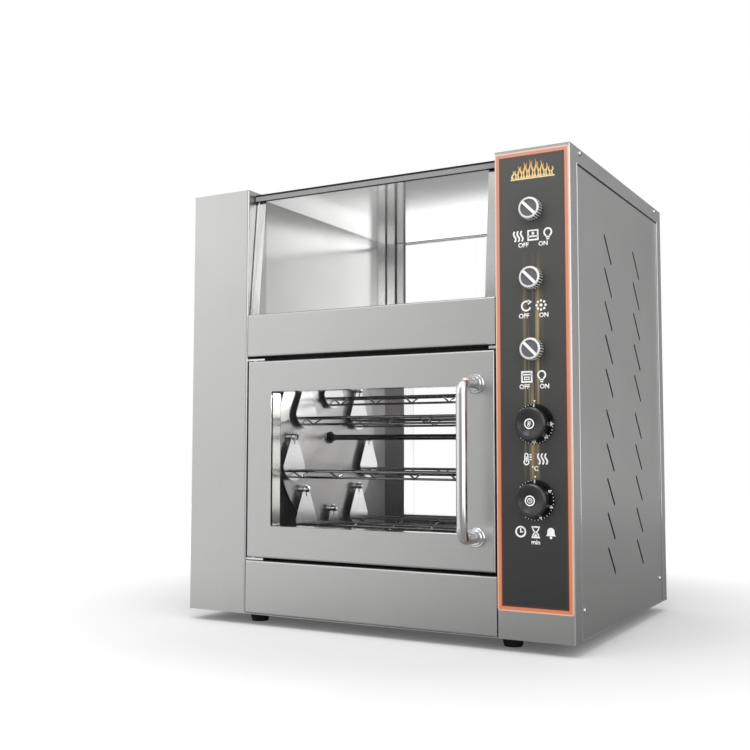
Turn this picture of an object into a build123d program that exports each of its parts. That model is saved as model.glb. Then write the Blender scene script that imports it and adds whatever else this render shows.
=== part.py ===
from build123d import *
from math import acos, atan2, cos, hypot, pi, sin
import os

# Countertop electric sweet potato roaster: a sheet steel casing with a hinged oven door, a motor-driven
# wheel that carries eight hanging wire baskets, and a lit display cabinet above the oven.
# Pieces are drawn in casing axes: x to the right, y to the rear from the front face, z up from the
# casing's underside. They are moved at the end, so that z = 0 is the floor and the origin is under the
# middle of the whole object's box. All lengths are in millimetres.

# Casing sizes
BODY_W = 680.0
BODY_D = 510.0
SHEET = 1.2
LINER = 1.0
BEND_R = 3.0
SEAM = 1.5
COLUMN_W = 116.0
COLUMN_RETURN = 30.0
REAR_RETURN = 28.0
CAP_FLANGE = 23.0
CAP_SCREW_DROP = 7.0
CAP_INNER_FLANGE = 18.0
PAN_UPSTAND = 55.0
PAN_END_GAP = 5.0
ROOF_H = 17.0
ROOF_STEP = 6.0
ROOF_SETBACK = 18.5
ROOF_LIP = 8.0
PLINTH_H = 87.0
PLINTH_RETURN = 20.0
SILL_H = 70.5
SILL_RETURN = 24.0
FOOT_H = 18.0
FOOT_R = 13.5
FOOT_TOP_R = 15.5
FOOT_INSET = 50.0
FOOT_OUTSET = 4.0

# Vent slots in the side panels
SLOT_LENGTH = 57.0
SLOT_WIDTH = 5.2
SLOT_PITCH = 52.4
SLOT_ROWS = 5
SLOT_GROUPS = 2
SLOT_GROUP_STEP = 272.6
SLOT_LOW_Z = 99.5
SLOT_COLUMN_Y = 180.0
SLOT_COLUMN_STEP = 161.0
SLOT_COLUMNS = 2
SLOT_LEAN = 49.0

# Casing screws
SCREW_HEAD_R = 4.0
SCREW_HEAD_H = 2.0
SCREW_RIM = 0.8
SCREW_CROWN_R = 2.8
SCREW_R = 2.0
SCREW_LENGTH = 9.0
SCREW_FIT = 0.1
SIDE_SCREW_INSET = 44.0
SIDE_SCREW_LOW_Z = 42.0
BACK_SCREW_INSET = 24.0
BACK_SCREW_LOW_Z = 24.0

# Wheel, baskets and oven cavity
PIN_CIRCLE_R = 130.0
BASKET_COUNT = 8
DISC_MARGIN = 38.0
DISC_T = 1.5
DISC_WALL_GAP = 8.5
DISC_TOP_GAP = 8.0
AXLE_R = 5.0
HUB_R = 7.0
HUB_LENGTH = 9.0
HUB_FLANGE_R = 11.0
HUB_FLANGE_T = 3.0
PRESS_FIT = 0.02
RUNNING_FIT = 0.05
HANGER_DROP = 76.0
HANGER_HALF = 34.0
HANGER_SHOULDER = 52.0
HANGER_HEAD_R = 8.0
HANGER_T = 1.5
HANGER_STANDOFF = 8.0
HANGER_PLAY = 0.4
KEY_SLOT_W = 4.0
KEY_SLOT_DROP = 13.0
PIN_R = 3.0
PIN_COLLAR_R = 5.0
PIN_HEAD_R = 5.6
PIN_HEAD_L = 6.5
PIN_HEAD_SIDE = 3.2
PIN_HEAD_EDGE = 1.0
PIN_HEAD_EDGE_R = 4.5
PIN_HEAD_TOP_R = 2.2
RAIL_R = 2.0
RAIL_HALF = 27.0
RAIL_DROP = 59.0
KEEL_DROP = 70.0
CROSS_R = 1.5
CROSS_COUNT = 6
CROSS_MARGIN = 14.0
CAVITY_FLOOR_Z = 40.0
BASKET_FLOOR_GAP = 45.0
CAVITY_SIDE_GAP = 6.0
WHEEL_FRONT_GAP = 34.6
REAR_SPACE = 44.0
TOP_INSULATION = 11.0
SIDE_INSULATION = 25.0
INSULATION_MARGIN = 50.0
INSULATION_FIT = 1.0
BUSH_R = 9.0
BUSH_FLANGE_R = 16.0
BUSH_FLANGE_T = 3.0
BUSH_LENGTH = 14.0
AXLE_OVERHANG = 18.0

# Drive
STANDOFF_LENGTH = 30.0
STANDOFF_R = 5.0
STANDOFF_PITCH = 68.0
BRACKET_T = 2.5
BRACKET_SIZE = 88.0
BRACKET_HOLE_R = 12.0
GEARBOX_SIZE = 62.0
GEARBOX_L = 30.0
MOTOR_R = 26.0
MOTOR_L = 34.0
DRIVE_ENGAGE = 14.0

# Heating, lamp and tray inside the oven
HEATER_R = 4.0
HEATER_PITCH = 60.0
HEATER_BEND = 24.0
HEATER_LOW_LIFT = 20.0
HEATER_TOP_DROP = 16.0
HEATER_LOW_OFFSET = 80.0
HEATER_TOP_OFFSET = 110.0
HEATER_END_GAP = 28.0
HEATER_TAIL = 20.0
HEATER_COLLAR_R = 8.0
HEATER_COLLAR_T = 4.0
HEATER_FIT = 0.2
TRAY_H = 8.0
TRAY_MARGIN = 14.0
LAMP_R = 22.0
LAMP_LIP_R = 20.0
LAMP_BASE_T = 7.0
LAMP_BASE_SIDE = 4.0
LAMP_DOME_R = 17.0
LAMP_DOME_H = 16.0
LAMP_DOME_SIDE = 8.0
LAMP_DOME_EDGE = 2.0
LAMP_DOME_EDGE_R = 13.5
LAMP_DOME_TOP_R = 8.5
LAMP_SIDE = 34.0
LAMP_DROP = 34.0
BULB_R = 3.0
BULB_LENGTH = 60.0
BULB_WALL_GAP = 3.0
BULB_DROP = 12.0
BULB_REAR = 12.0
CAPILLARY_R = 1.2
CAPILLARY_BEND = 15.0
CAPILLARY_OUT = 52.0

# Oven door
DOOR_GAP_LOW = 5.0
DOOR_GAP_HIGH = 8.0
DOOR_GAP_SIDE = 2.5
DOOR_T = 28.0
WINDOW_LEFT = 47.5
WINDOW_RIGHT = 55.5
WINDOW_LOW = 52.0
WINDOW_HIGH = 51.0
WINDOW_CORNER_R = 3.0
GLASS_T = 4.0
GLASS_LAP = 10.0
INNER_GLASS_SETBACK = 6.0
GASKET_T = 3.5
GASKET_W = 8.0
GASKET_INSET = 8.5
FRAME_GAP = 0.7
MOUTH_INSET = 18.5
FRAME_LAP = 8.0
HINGE_INSET = 11.0
HINGE_Y = 6.0
HINGE_PIN_R = 3.0
HINGE_PIN_REACH = 10.0
HINGE_PLATE_L = 34.0
HINGE_PLATE_D = 20.0
HINGE_PLATE_T = 3.0
HINGE_DOOR_GAP = 1.0
KEEPER_L = 12.0
KEEPER_D = 14.0
KEEPER_T = 4.0
HANDLE_R = 8.2
HANDLE_STAND = 50.0
HANDLE_SPAN = 224.0
HANDLE_EDGE = 29.5
HANDLE_BEND = 17.0
ROSETTE_R = 14.5
ROSETTE_STEP_R = 11.5
ROSETTE_T = 4.5
ROSETTE_STEP_T = 4.0
ROSETTE_CHAMFER = 1.0

# Display cabinet
DISPLAY_H = 210.0
DISPLAY_SIDE_GAP = 19.0
DISPLAY_LIP = 13.5
DISPLAY_REAR_SPACE = 62.0
FLANGE_LOW_Y = 6.0
FLANGE_HIGH_Y = 24.0
GLASS_UP = 6.0
REAR_POST_W = 20.0
BATTEN_W = 26.0
BATTEN_H = 9.0
BATTEN_COVER_R = 11.0
BATTEN_WALL_GAP = 4.0
BATTEN_FRONT = 72.0
BATTEN_REAR = 35.0
BATTEN_CAP = 5.0
TRACK_D = 26.0
TRACK_LOW_H = 10.0
GROOVE_W = 6.4
GROOVE_FRONT = 7.0
GROOVE_STEP = 12.0
GROOVE_LOW_DEPTH = 3.0
GROOVE_TOP_DEPTH = 6.5
REAR_GLASS_T = 5.0
REAR_GLASS_LIFT = 0.5
REAR_GLASS_TOP_PLAY = 3.0
REAR_DOOR_END = 3.0
REAR_DOOR_LAP = 15.0
STILE_W = 36.0
STILE_T = 8.0
STILE_WALL = 2.0
STILE_END_GAP = 1.0

# Back of the casing
REAR_WINDOW_SIDE = 44.0
REAR_WINDOW_LOW = 98.0
REAR_WINDOW_HIGH = 65.0
REAR_GLASS_SET = 3.0
HATCH_MARGIN = 10.0
HATCH_LOW = 8.0
HATCH_TOP = 1.5
GLAND_SIDE = 58.0
GLAND_Z = 90.0
GLAND_BORE_R = 4.5
GLAND_THREAD_R = 8.0
GLAND_NUT_R = 12.0
GLAND_OUT = 22.0
GLAND_IN = 12.0
GLAND_FLANGE_T = 7.0
GLAND_CHAMFER = 2.0
GLAND_NUT_T = 5.0
GLAND_NOSE_R = 7.0
GLAND_FIT = 0.2

# Control strip
FASCIA_T = 0.8
FASCIA_INNER_GAP = 1.0
FASCIA_OUTER_GAP = 1.6
FASCIA_LOW_Z = 40.0
FASCIA_TOP_GAP = 4.0
CABINET_LIGHT_DROP = 88.5
ROTATION_DROP = 188.5
OVEN_LIGHT_DROP = 291.0
TEMPERATURE_DROP = 397.5
TIMER_DROP = 505.0
KNOB_SHIFT = 1.5
KNOB_GAP = 1.0
SPINDLE_R = 3.0
SPINDLE_REACH = 20.0
SPINDLE_END_PLAY = 1.0
BUSHING_R = 5.0
BUSHING_FIT = 0.2
SWITCH_KNOB_R = 15.3
SWITCH_KNOB_H = 17.0
KNOB_CHAMFER = 1.0
SWITCH_RIM = 2.8
SWITCH_DISH = 1.6
SWITCH_BAR_W = 4.2
SWITCH_BAR_ANGLE = -45.0
DIAL_R = 29.0
DIAL_T = 3.0
DIAL_RIM = 1.5
DIAL_KNOB_R = 23.5
DIAL_KNOB_H = 23.0
DIAL_NECK = 1.5
DIAL_NECK_H = 2.0
DIAL_EDGE = 2.5
DIAL_EDGE_H = 3.0
DIAL_DISH_R = 17.0
DIAL_DISH = 3.0
DIAL_BADGE_R = 8.0
DIAL_BADGE_T = 1.0
SWITCH_BODY = 28.0
SWITCH_BODY_D = 30.0
THERMOSTAT_BODY = 42.0
THERMOSTAT_BODY_D = 32.0
TIMER_BODY = 54.0
TIMER_BODY_D = 38.0

# Places that follow from the sizes
HALF_W = BODY_W / 2
INNER = HALF_W - COLUMN_W
CAVITY_HALF = INNER - CAVITY_SIDE_GAP
DISPLAY_HALF = INNER - DISPLAY_SIDE_GAP
DISC_R = PIN_CIRCLE_R + DISC_MARGIN
AXLE_Z = CAVITY_FLOOR_Z + BASKET_FLOOR_GAP + HANGER_DROP + PIN_CIRCLE_R
CAVITY_TOP_Z = AXLE_Z + DISC_R + DISC_TOP_GAP
DISPLAY_FLOOR_Z = CAVITY_TOP_Z + LINER + TOP_INSULATION + LINER
SILL_TOP_Z = DISPLAY_FLOOR_Z + DISPLAY_LIP
SILL_LOW_Z = SILL_TOP_Z - SILL_H
CEILING_Z = DISPLAY_FLOOR_Z + DISPLAY_H
BODY_H = CEILING_Z + ROOF_H
ROOF_Z = BODY_H - ROOF_STEP
PANEL_TOP_Z = BODY_H - SHEET
DOOR_LOW_Z = PLINTH_H + DOOR_GAP_LOW
DOOR_TOP_Z = SILL_LOW_Z - DOOR_GAP_HIGH
DOOR_HALF = INNER - DOOR_GAP_SIDE
FRAME_Y = DOOR_T + GASKET_T + FRAME_GAP
CAVITY_FRONT = FRAME_Y + SHEET
CAVITY_REAR = BODY_D - REAR_SPACE
AXLE_Y = CAVITY_FRONT + WHEEL_FRONT_GAP + DISC_R
DISC_FACE = CAVITY_HALF - DISC_WALL_GAP - DISC_T
HANGER_OUT = DISC_FACE - HANGER_STANDOFF
HANGER_IN = HANGER_OUT - HANGER_T
DRIVE_FACE = CAVITY_HALF + LINER + STANDOFF_LENGTH + BRACKET_T
DISPLAY_REAR = BODY_D - DISPLAY_REAR_SPACE
DISPLAY_OUT = DISPLAY_HALF + LINER
SIDE_OUT = HALF_W - SHEET
SIDE_IN = SIDE_OUT - SHEET
KNOB_X = (HALF_W + INNER) / 2 + KNOB_SHIFT
GLAND_X = HALF_W - GLAND_SIDE
HINGE_X = HINGE_INSET - DOOR_HALF
HANDLE_X = DOOR_HALF - HANDLE_EDGE
FLANGE_SLOPE = (FLANGE_HIGH_Y - FLANGE_LOW_Y) / (CEILING_Z - SILL_TOP_Z)
HANDLE_REACH = HANDLE_STAND + HANDLE_R
FRONT_Y = (HANDLE_REACH - BODY_D - GLAND_OUT) / 2
PLACE = Pos(0, FRONT_Y, FOOT_H)
OVERCUT = 5.0


# Basic shapes

def block(x_range, y_range, z_range):
    """A box between two limits along each axis."""
    x0, x1 = sorted(x_range)
    y0, y1 = sorted(y_range)
    z0, z1 = sorted(z_range)
    middle = Pos((x0 + x1) / 2, (y0 + y1) / 2, (z0 + z1) / 2)
    return middle * Box(x1 - x0, y1 - y0, z1 - z0)


def rod_x(x_range, y, z, radius):
    x0, x1 = sorted(x_range)
    return Pos((x0 + x1) / 2, y, z) * Rot(0, 90, 0) * Cylinder(radius, x1 - x0)


def rod_y(x, y_range, z, radius):
    y0, y1 = sorted(y_range)
    return Pos(x, (y0 + y1) / 2, z) * Rot(90, 0, 0) * Cylinder(radius, y1 - y0)


def rod_z(x, y, z_range, radius):
    z0, z1 = sorted(z_range)
    return Pos(x, y, (z0 + z1) / 2) * Cylinder(radius, z1 - z0)


def turned(profile):
    """A solid of revolution about +Z from points of radius and height."""
    outline = Polyline(*[(radius, 0, height) for radius, height in profile], close=True)
    return revolve(make_face(outline), Axis.Z)


def side_plate(points, x_range):
    """A plate of a given outline in y and z, between two x limits."""
    x0, x1 = sorted(x_range)
    outline = Polyline(*[(x0, y, z) for y, z in points], close=True)
    return extrude(make_face(outline), amount=x1 - x0, dir=(1, 0, 0))


def ring_plate(outer, inner, y_range):
    """A flat rectangular ring in the x and z directions; outer and inner are x and z limits."""
    hole = block(inner[0], (y_range[0] - OVERCUT, y_range[1] + OVERCUT), inner[1])
    return block(outer[0], y_range, outer[1]) - hole


def grown(limits, amount):
    """The x and z limits of a rectangle, moved outwards by an amount."""
    (x0, x1), (z0, z1) = limits
    return ((x0 - amount, x1 + amount), (z0 - amount, z1 + amount))


FACE_FRONT = Rot(90, 0, 0)
FACE_REAR = Rot(-90, 0, 0)
FACE_RIGHT = Rot(0, 90, 0)
FACE_LEFT = Rot(0, -90, 0)


def folded_channel(x_range, y_range, z_range, open_to_rear=True):
    """An upright sheet channel with rounded bends: a face and a return along each side."""
    x0, x1 = sorted(x_range)
    y0, y1 = y_range
    bend = 0 if open_to_rear else -1
    outer = block((x0, x1), (y0, y1), z_range)
    outer = fillet(outer.edges().filter_by(Axis.Z).group_by(Axis.Y)[bend], BEND_R)
    hollow_y = (y0 + SHEET, y1 + OVERCUT) if open_to_rear else (y0 - OVERCUT, y1 - SHEET)
    hollow = block((x0 + SHEET, x1 - SHEET), hollow_y, (z_range[0] - OVERCUT, z_range[1] + OVERCUT))
    hollow = fillet(hollow.edges().filter_by(Axis.Z).group_by(Axis.Y)[bend], BEND_R - SHEET)
    return outer - hollow


def folded_strip(z_range, depth):
    """A front panel between the columns, with its top and bottom edges bent to the rear."""
    half = INNER - SEAM
    outer = block((-half, half), (0, depth), z_range)
    outer = fillet(outer.edges().filter_by(Axis.X).group_by(Axis.Y)[0], BEND_R)
    hollow_z = (z_range[0] + SHEET, z_range[1] - SHEET)
    hollow = block((-INNER, INNER), (SHEET, depth + OVERCUT), hollow_z)
    hollow = fillet(hollow.edges().filter_by(Axis.X).group_by(Axis.Y)[0], BEND_R - SHEET)
    return outer - hollow


# Casing screws and their holes

SIDE_TOP_SCREW_Z = BODY_H - CAP_SCREW_DROP
SIDE_SCREW_Y = (SIDE_SCREW_INSET, BODY_D - SIDE_SCREW_INSET)
BACK_SCREW_X = (BACK_SCREW_INSET - INNER, 0.0, INNER - BACK_SCREW_INSET)


def side_screw_holes(z, side):
    span = (side * (HALF_W - SCREW_LENGTH - OVERCUT), side * (HALF_W + OVERCUT))
    return [rod_x(span, y, z, SCREW_R + SCREW_FIT) for y in SIDE_SCREW_Y]


def back_screw_holes():
    span = (BODY_D - SCREW_LENGTH - OVERCUT, BODY_D + OVERCUT)
    return [rod_y(x, span, BACK_SCREW_LOW_Z, SCREW_R + SCREW_FIT) for x in BACK_SCREW_X]


def screw():
    """A pan head screw whose head sits on z = 0 and whose shank points down."""
    return turned([
        (0, -SCREW_LENGTH), (SCREW_R, -SCREW_LENGTH), (SCREW_R, 0), (SCREW_HEAD_R, 0),
        (SCREW_HEAD_R, SCREW_RIM), (SCREW_CROWN_R, SCREW_HEAD_H), (0, SCREW_HEAD_H),
    ])


def case_screws():
    screws = []
    for side, turn in ((-1, FACE_LEFT), (1, FACE_RIGHT)):
        for y in SIDE_SCREW_Y:
            screws.append(Pos(side * HALF_W, y, SIDE_TOP_SCREW_Z) * turn * screw())
            screws.append(Pos(side * SIDE_OUT, y, SIDE_SCREW_LOW_Z) * turn * screw())
    for x in BACK_SCREW_X:
        screws.append(Pos(x, BODY_D, BACK_SCREW_LOW_Z) * FACE_REAR * screw())
    return screws


# Casing panels

def base_pan():
    """Bottom sheet under every panel, with upstands for the side and back screws."""
    pan = block((-HALF_W, HALF_W), (0, BODY_D), (0, SHEET))
    side_y = (COLUMN_RETURN + PAN_END_GAP, BODY_D - REAR_RETURN - PAN_END_GAP)
    for side in (-1, 1):
        upstand_x = (side * (SIDE_IN - SHEET), side * SIDE_IN)
        pan += block(upstand_x, side_y, (0, PAN_UPSTAND))
        pan -= side_screw_holes(SIDE_SCREW_LOW_Z, side)
    pan += block((-INNER, INNER), (BODY_D - 2 * SHEET, BODY_D - SHEET), (0, PAN_UPSTAND))
    return pan - back_screw_holes()


def feet():
    foot = turned([(0, -FOOT_H), (FOOT_R, -FOOT_H), (FOOT_TOP_R, -FOOT_H / 2), (FOOT_TOP_R, 0), (0, 0)])
    foot_x = INNER + FOOT_OUTSET
    return [Pos(x, y, 0) * foot for x in (-foot_x, foot_x) for y in (FOOT_INSET, BODY_D - FOOT_INSET)]


def front_column(side):
    x_range = (side * INNER, side * HALF_W)
    return folded_channel(x_range, (0, COLUMN_RETURN), (SHEET, PANEL_TOP_Z))


def right_front_column():
    return front_column(1) - control_holes()


def vent_slots(side):
    """Upright rows of slots, in a lower and an upper group; each slot leans with its top to the front."""
    slot_face = Rot(0, 0, -SLOT_LEAN) * SlotOverall(SLOT_LENGTH, SLOT_WIDTH)
    cutter = extrude(slot_face, amount=OVERCUT, both=True)
    slots = []
    for column in range(SLOT_COLUMNS):
        y = SLOT_COLUMN_Y + column * SLOT_COLUMN_STEP
        for group in range(SLOT_GROUPS):
            for row in range(SLOT_ROWS):
                z = SLOT_LOW_Z + group * SLOT_GROUP_STEP + row * SLOT_PITCH
                place = Plane((side * HALF_W, y, z), x_dir=(0, 1, 0), z_dir=(1, 0, 0))
                slots.append(place.location * cutter)
    return slots


def side_panel(side):
    """Side sheet, which lies against the inside of the column, cap and back panel flanges."""
    x_range = (side * SIDE_IN, side * SIDE_OUT)
    y_range = (SHEET + BEND_R, BODY_D - SHEET - BEND_R)
    panel = block(x_range, y_range, (SHEET, PANEL_TOP_Z)) - vent_slots(side)
    for z in (SIDE_SCREW_LOW_Z, SIDE_TOP_SCREW_Z):
        panel -= side_screw_holes(z, side)
    return panel


def column_caps():
    """The two top covers over the side boxes, with an outer and an inner flange each."""
    caps = []
    for side in (-1, 1):
        cap = block((side * INNER, side * HALF_W), (0, BODY_D), (PANEL_TOP_Z, BODY_H))
        flange_y = (COLUMN_RETURN, BODY_D - REAR_RETURN)
        outer_x = (side * SIDE_OUT, side * HALF_W)
        cap += block(outer_x, flange_y, (BODY_H - CAP_FLANGE, BODY_H))
        inner_x = (side * INNER, side * (INNER + SHEET))
        cap += block(inner_x, flange_y, (BODY_H - CAP_INNER_FLANGE, BODY_H))
        caps.append(cap - side_screw_holes(SIDE_TOP_SCREW_Z, side))
    return caps


def roof_panel():
    half = INNER - SEAM
    roof = block((-half, half), (ROOF_SETBACK, BODY_D - SHEET), (ROOF_Z - SHEET, ROOF_Z))
    return roof + block((-half, half), (ROOF_SETBACK, ROOF_SETBACK + SHEET), (ROOF_Z - ROOF_LIP, ROOF_Z))


def plinth_panel():
    return folded_strip((SHEET, PLINTH_H), PLINTH_RETURN)


def sill_panel():
    """Panel above the door; the front glass stands on its narrow top edge."""
    panel = folded_strip((SILL_LOW_Z, SILL_TOP_Z), SILL_RETURN)
    shorten_y = (FLANGE_LOW_Y, SILL_RETURN + OVERCUT)
    return panel - block((-INNER, INNER), shorten_y, (SILL_TOP_Z - SHEET - OVERCUT, SILL_TOP_Z + OVERCUT))


REAR_WINDOW = (
    (REAR_WINDOW_SIDE - CAVITY_HALF, CAVITY_HALF - REAR_WINDOW_SIDE),
    (CAVITY_FLOOR_Z + REAR_WINDOW_LOW, CAVITY_TOP_Z - REAR_WINDOW_HIGH),
)
SLEEVE_LOW_Z = DISPLAY_FLOOR_Z - LINER
BAY_TOP_Z = ROOF_Z - SHEET - LINER
DOOR_BAY = ((-DISPLAY_OUT, DISPLAY_OUT), (SLEEVE_LOW_Z, BAY_TOP_Z))
HATCH = (
    (HATCH_MARGIN - DISPLAY_OUT, DISPLAY_OUT - HATCH_MARGIN),
    (SLEEVE_LOW_Z + HATCH_LOW, BAY_TOP_Z - HATCH_TOP),
)


def back_panel():
    panel_y = (BODY_D - REAR_RETURN, BODY_D)
    panel = folded_channel((-HALF_W, HALF_W), panel_y, (SHEET, PANEL_TOP_Z), open_to_rear=False)
    through = (BODY_D - REAR_RETURN, BODY_D + OVERCUT)
    for x_range, z_range in (REAR_WINDOW, HATCH):
        panel -= block(x_range, through, z_range)
    panel -= rod_y(GLAND_X, through, GLAND_Z, GLAND_THREAD_R + GLAND_FIT)
    return panel - back_screw_holes()


def rear_sleeves():
    """Box sleeves that join the display cabinet and the rear window to the back panel."""
    end = BODY_D - SHEET
    upper = ring_plate(grown(DOOR_BAY, LINER), DOOR_BAY, (DISPLAY_REAR, end))
    lower = ring_plate(grown(REAR_WINDOW, LINER), REAR_WINDOW, (CAVITY_REAR + LINER, end))
    return [upper, lower]


def rear_window_glass():
    front = CAVITY_REAR + LINER + REAR_GLASS_SET
    return block(REAR_WINDOW[0], (front, front + GLASS_T), REAR_WINDOW[1])


def cable_gland():
    inside = -(SHEET + GLAND_IN)
    nut_face = -(SHEET + GLAND_NUT_T)
    body = turned([
        (GLAND_BORE_R, inside), (GLAND_THREAD_R, inside), (GLAND_THREAD_R, nut_face),
        (GLAND_NUT_R, nut_face), (GLAND_NUT_R, -SHEET), (GLAND_THREAD_R, -SHEET), (GLAND_THREAD_R, 0),
        (GLAND_NUT_R, 0), (GLAND_NUT_R, GLAND_FLANGE_T), (GLAND_THREAD_R, GLAND_FLANGE_T + GLAND_CHAMFER),
        (GLAND_NOSE_R, GLAND_OUT), (GLAND_BORE_R, GLAND_OUT),
    ])
    return Pos(GLAND_X, BODY_D, GLAND_Z) * FACE_REAR * body


# Oven cavity

DOOR_EDGE = ((-DOOR_HALF, DOOR_HALF), (DOOR_LOW_Z, DOOR_TOP_Z))
MOUTH = grown(DOOR_EDGE, -MOUTH_INSET)
LINER_Y = (CAVITY_FRONT, CAVITY_REAR)
LINER_X = CAVITY_HALF + LINER
HEATER_LOW_Z = CAVITY_FLOOR_Z + HEATER_LOW_LIFT
HEATER_TOP_Z = CAVITY_TOP_Z - HEATER_TOP_DROP
LAMP_X = CAVITY_HALF - LAMP_SIDE
LAMP_Z = CAVITY_TOP_Z - LAMP_DROP
BULB_X = CAVITY_HALF - BULB_WALL_GAP - BULB_R
BULB_Z = CAVITY_TOP_Z - BULB_DROP
BULB_END_Y = CAVITY_REAR - BULB_REAR


def heater_places():
    """The middle y and the z of each heating loop."""
    low = [(AXLE_Y + side * HEATER_LOW_OFFSET, HEATER_LOW_Z) for side in (-1, 1)]
    top = [(AXLE_Y + side * HEATER_TOP_OFFSET, HEATER_TOP_Z) for side in (-1, 1)]
    return low + top


def oven_front_frame():
    """Front wall of the cavity, which the door gasket closes on and which stands on the base pan."""
    outer = ((-INNER - FRAME_LAP, INNER + FRAME_LAP), (SHEET, CAVITY_TOP_Z + LINER))
    return ring_plate(outer, MOUTH, (FRAME_Y, FRAME_Y + SHEET))


def oven_rear_wall():
    """Rear plate with the rear window opening, which stands on the base pan."""
    outer = ((-LINER_X, LINER_X), (SHEET, CAVITY_TOP_Z + LINER))
    return ring_plate(outer, REAR_WINDOW, (CAVITY_REAR, CAVITY_REAR + LINER))


def oven_liner():
    """Two side walls, a floor, a ceiling and the rear wall."""
    bush_hole = rod_x((-HALF_W, HALF_W), AXLE_Y, AXLE_Z, BUSH_R + PRESS_FIT)
    wall_z = (CAVITY_FLOOR_Z, CAVITY_TOP_Z)
    left = block((-LINER_X, -CAVITY_HALF), LINER_Y, wall_z) - bush_hole
    right = block((CAVITY_HALF, LINER_X), LINER_Y, wall_z) - bush_hole
    for y, z in heater_places():
        for side in (-1, 1):
            leg_y = y + side * HEATER_PITCH / 2
            right -= rod_x((0, HALF_W), leg_y, z, HEATER_R + HEATER_FIT)
    right -= rod_x((0, HALF_W), BULB_END_Y, BULB_Z, CAPILLARY_R + HEATER_FIT)
    floor = block((-LINER_X, LINER_X), LINER_Y, (CAVITY_FLOOR_Z - LINER, CAVITY_FLOOR_Z))
    ceiling = block((-LINER_X, LINER_X), LINER_Y, (CAVITY_TOP_Z, CAVITY_TOP_Z + LINER))
    return [left, right, floor, ceiling, oven_rear_wall()]


def insulation():
    """Mineral wool slabs at both sides of the oven and between it and the display floor."""
    slab_y = (CAVITY_FRONT + INSULATION_MARGIN, CAVITY_REAR - INSULATION_MARGIN)
    slab_z = (CAVITY_FLOOR_Z + INSULATION_MARGIN, CAVITY_TOP_Z - INSULATION_MARGIN)
    room = [rod_x((-HALF_W, HALF_W), AXLE_Y, AXLE_Z, BUSH_FLANGE_R)]
    for y, z in standoff_places():
        room.append(rod_x((0, HALF_W), y, z, STANDOFF_R + INSULATION_FIT))
    slabs = []
    for side in (-1, 1):
        slab_x = (side * LINER_X, side * (LINER_X + SIDE_INSULATION))
        slabs.append(block(slab_x, slab_y, slab_z) - room)
    top_z = (CAVITY_TOP_Z + LINER, CAVITY_TOP_Z + LINER + TOP_INSULATION)
    slabs.append(block((-CAVITY_HALF, CAVITY_HALF), (CAVITY_FRONT, DISPLAY_REAR), top_z))
    return slabs


def heating_loop(y, z):
    """A U-shaped tube that enters through the right wall, with a collar on each face of the wall."""
    far = HEATER_END_GAP - CAVITY_HALF
    tail = LINER_X + HEATER_TAIL
    y0 = y - HEATER_PITCH / 2
    y1 = y + HEATER_PITCH / 2
    path = FilletPolyline((tail, y0, z), (far, y0, z), (far, y1, z), (tail, y1, z), radius=HEATER_BEND)
    section = Plane((tail, y0, z), z_dir=(-1, 0, 0)) * Circle(HEATER_R)
    loop = sweep(section, path=path)
    for leg_y in (y0, y1):
        loop += rod_x((CAVITY_HALF - HEATER_COLLAR_T, CAVITY_HALF), leg_y, z, HEATER_COLLAR_R)
        loop += rod_x((LINER_X, LINER_X + HEATER_COLLAR_T), leg_y, z, HEATER_COLLAR_R)
    return loop


def heating_elements():
    return [heating_loop(y, z) for y, z in heater_places()]


def crumb_tray():
    half = CAVITY_HALF - TRAY_MARGIN
    y_range = (CAVITY_FRONT + TRAY_MARGIN, CAVITY_REAR - TRAY_MARGIN)
    z_range = (CAVITY_FLOOR_Z, CAVITY_FLOOR_Z + TRAY_H)
    tray = block((-half, half), y_range, z_range)
    hollow_y = (y_range[0] + LINER, y_range[1] - LINER)
    return tray - block((LINER - half, half - LINER), hollow_y, (z_range[0] + LINER, z_range[1] + OVERCUT))


def oven_lamp():
    """A lamp high on the rear wall, at its right: a steel ring and a domed glass cover."""
    ring = turned([
        (LAMP_DOME_R, 0), (LAMP_R, 0), (LAMP_R, LAMP_BASE_SIDE), (LAMP_LIP_R, LAMP_BASE_T),
        (LAMP_DOME_R, LAMP_BASE_T),
    ])
    crown = LAMP_BASE_T + LAMP_DOME_H
    dome = turned([
        (0, 0), (LAMP_DOME_R, 0), (LAMP_DOME_R, LAMP_BASE_T + LAMP_DOME_SIDE),
        (LAMP_DOME_EDGE_R, crown - LAMP_DOME_EDGE), (LAMP_DOME_TOP_R, crown), (0, crown),
    ])
    place = Pos(LAMP_X, CAVITY_REAR, LAMP_Z) * FACE_FRONT
    return [place * ring, place * dome]


# Wheel and baskets

def basket_angles():
    """Pin angles about the axle; the first pin points to the front."""
    return [pi + index * 2 * pi / BASKET_COUNT for index in range(BASKET_COUNT)]


def pin_places():
    return [(AXLE_Y + PIN_CIRCLE_R * cos(a), AXLE_Z + PIN_CIRCLE_R * sin(a)) for a in basket_angles()]


def wheel_plate(side):
    """A polished disc with a flanged hub on its inner face."""
    face = side * DISC_FACE
    disc = rod_x((face, side * (DISC_FACE + DISC_T)), AXLE_Y, AXLE_Z, DISC_R)
    flange = rod_x((face, side * (DISC_FACE - HUB_FLANGE_T)), AXLE_Y, AXLE_Z, HUB_FLANGE_R)
    hub = rod_x((face, side * (DISC_FACE - HUB_LENGTH)), AXLE_Y, AXLE_Z, HUB_R)
    return disc + flange + hub - rod_x((-HALF_W, HALF_W), AXLE_Y, AXLE_Z, AXLE_R + PRESS_FIT)


def axle():
    left = -(LINER_X + AXLE_OVERHANG)
    return rod_x((left, DRIVE_FACE + DRIVE_ENGAGE), AXLE_Y, AXLE_Z, AXLE_R)


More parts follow.
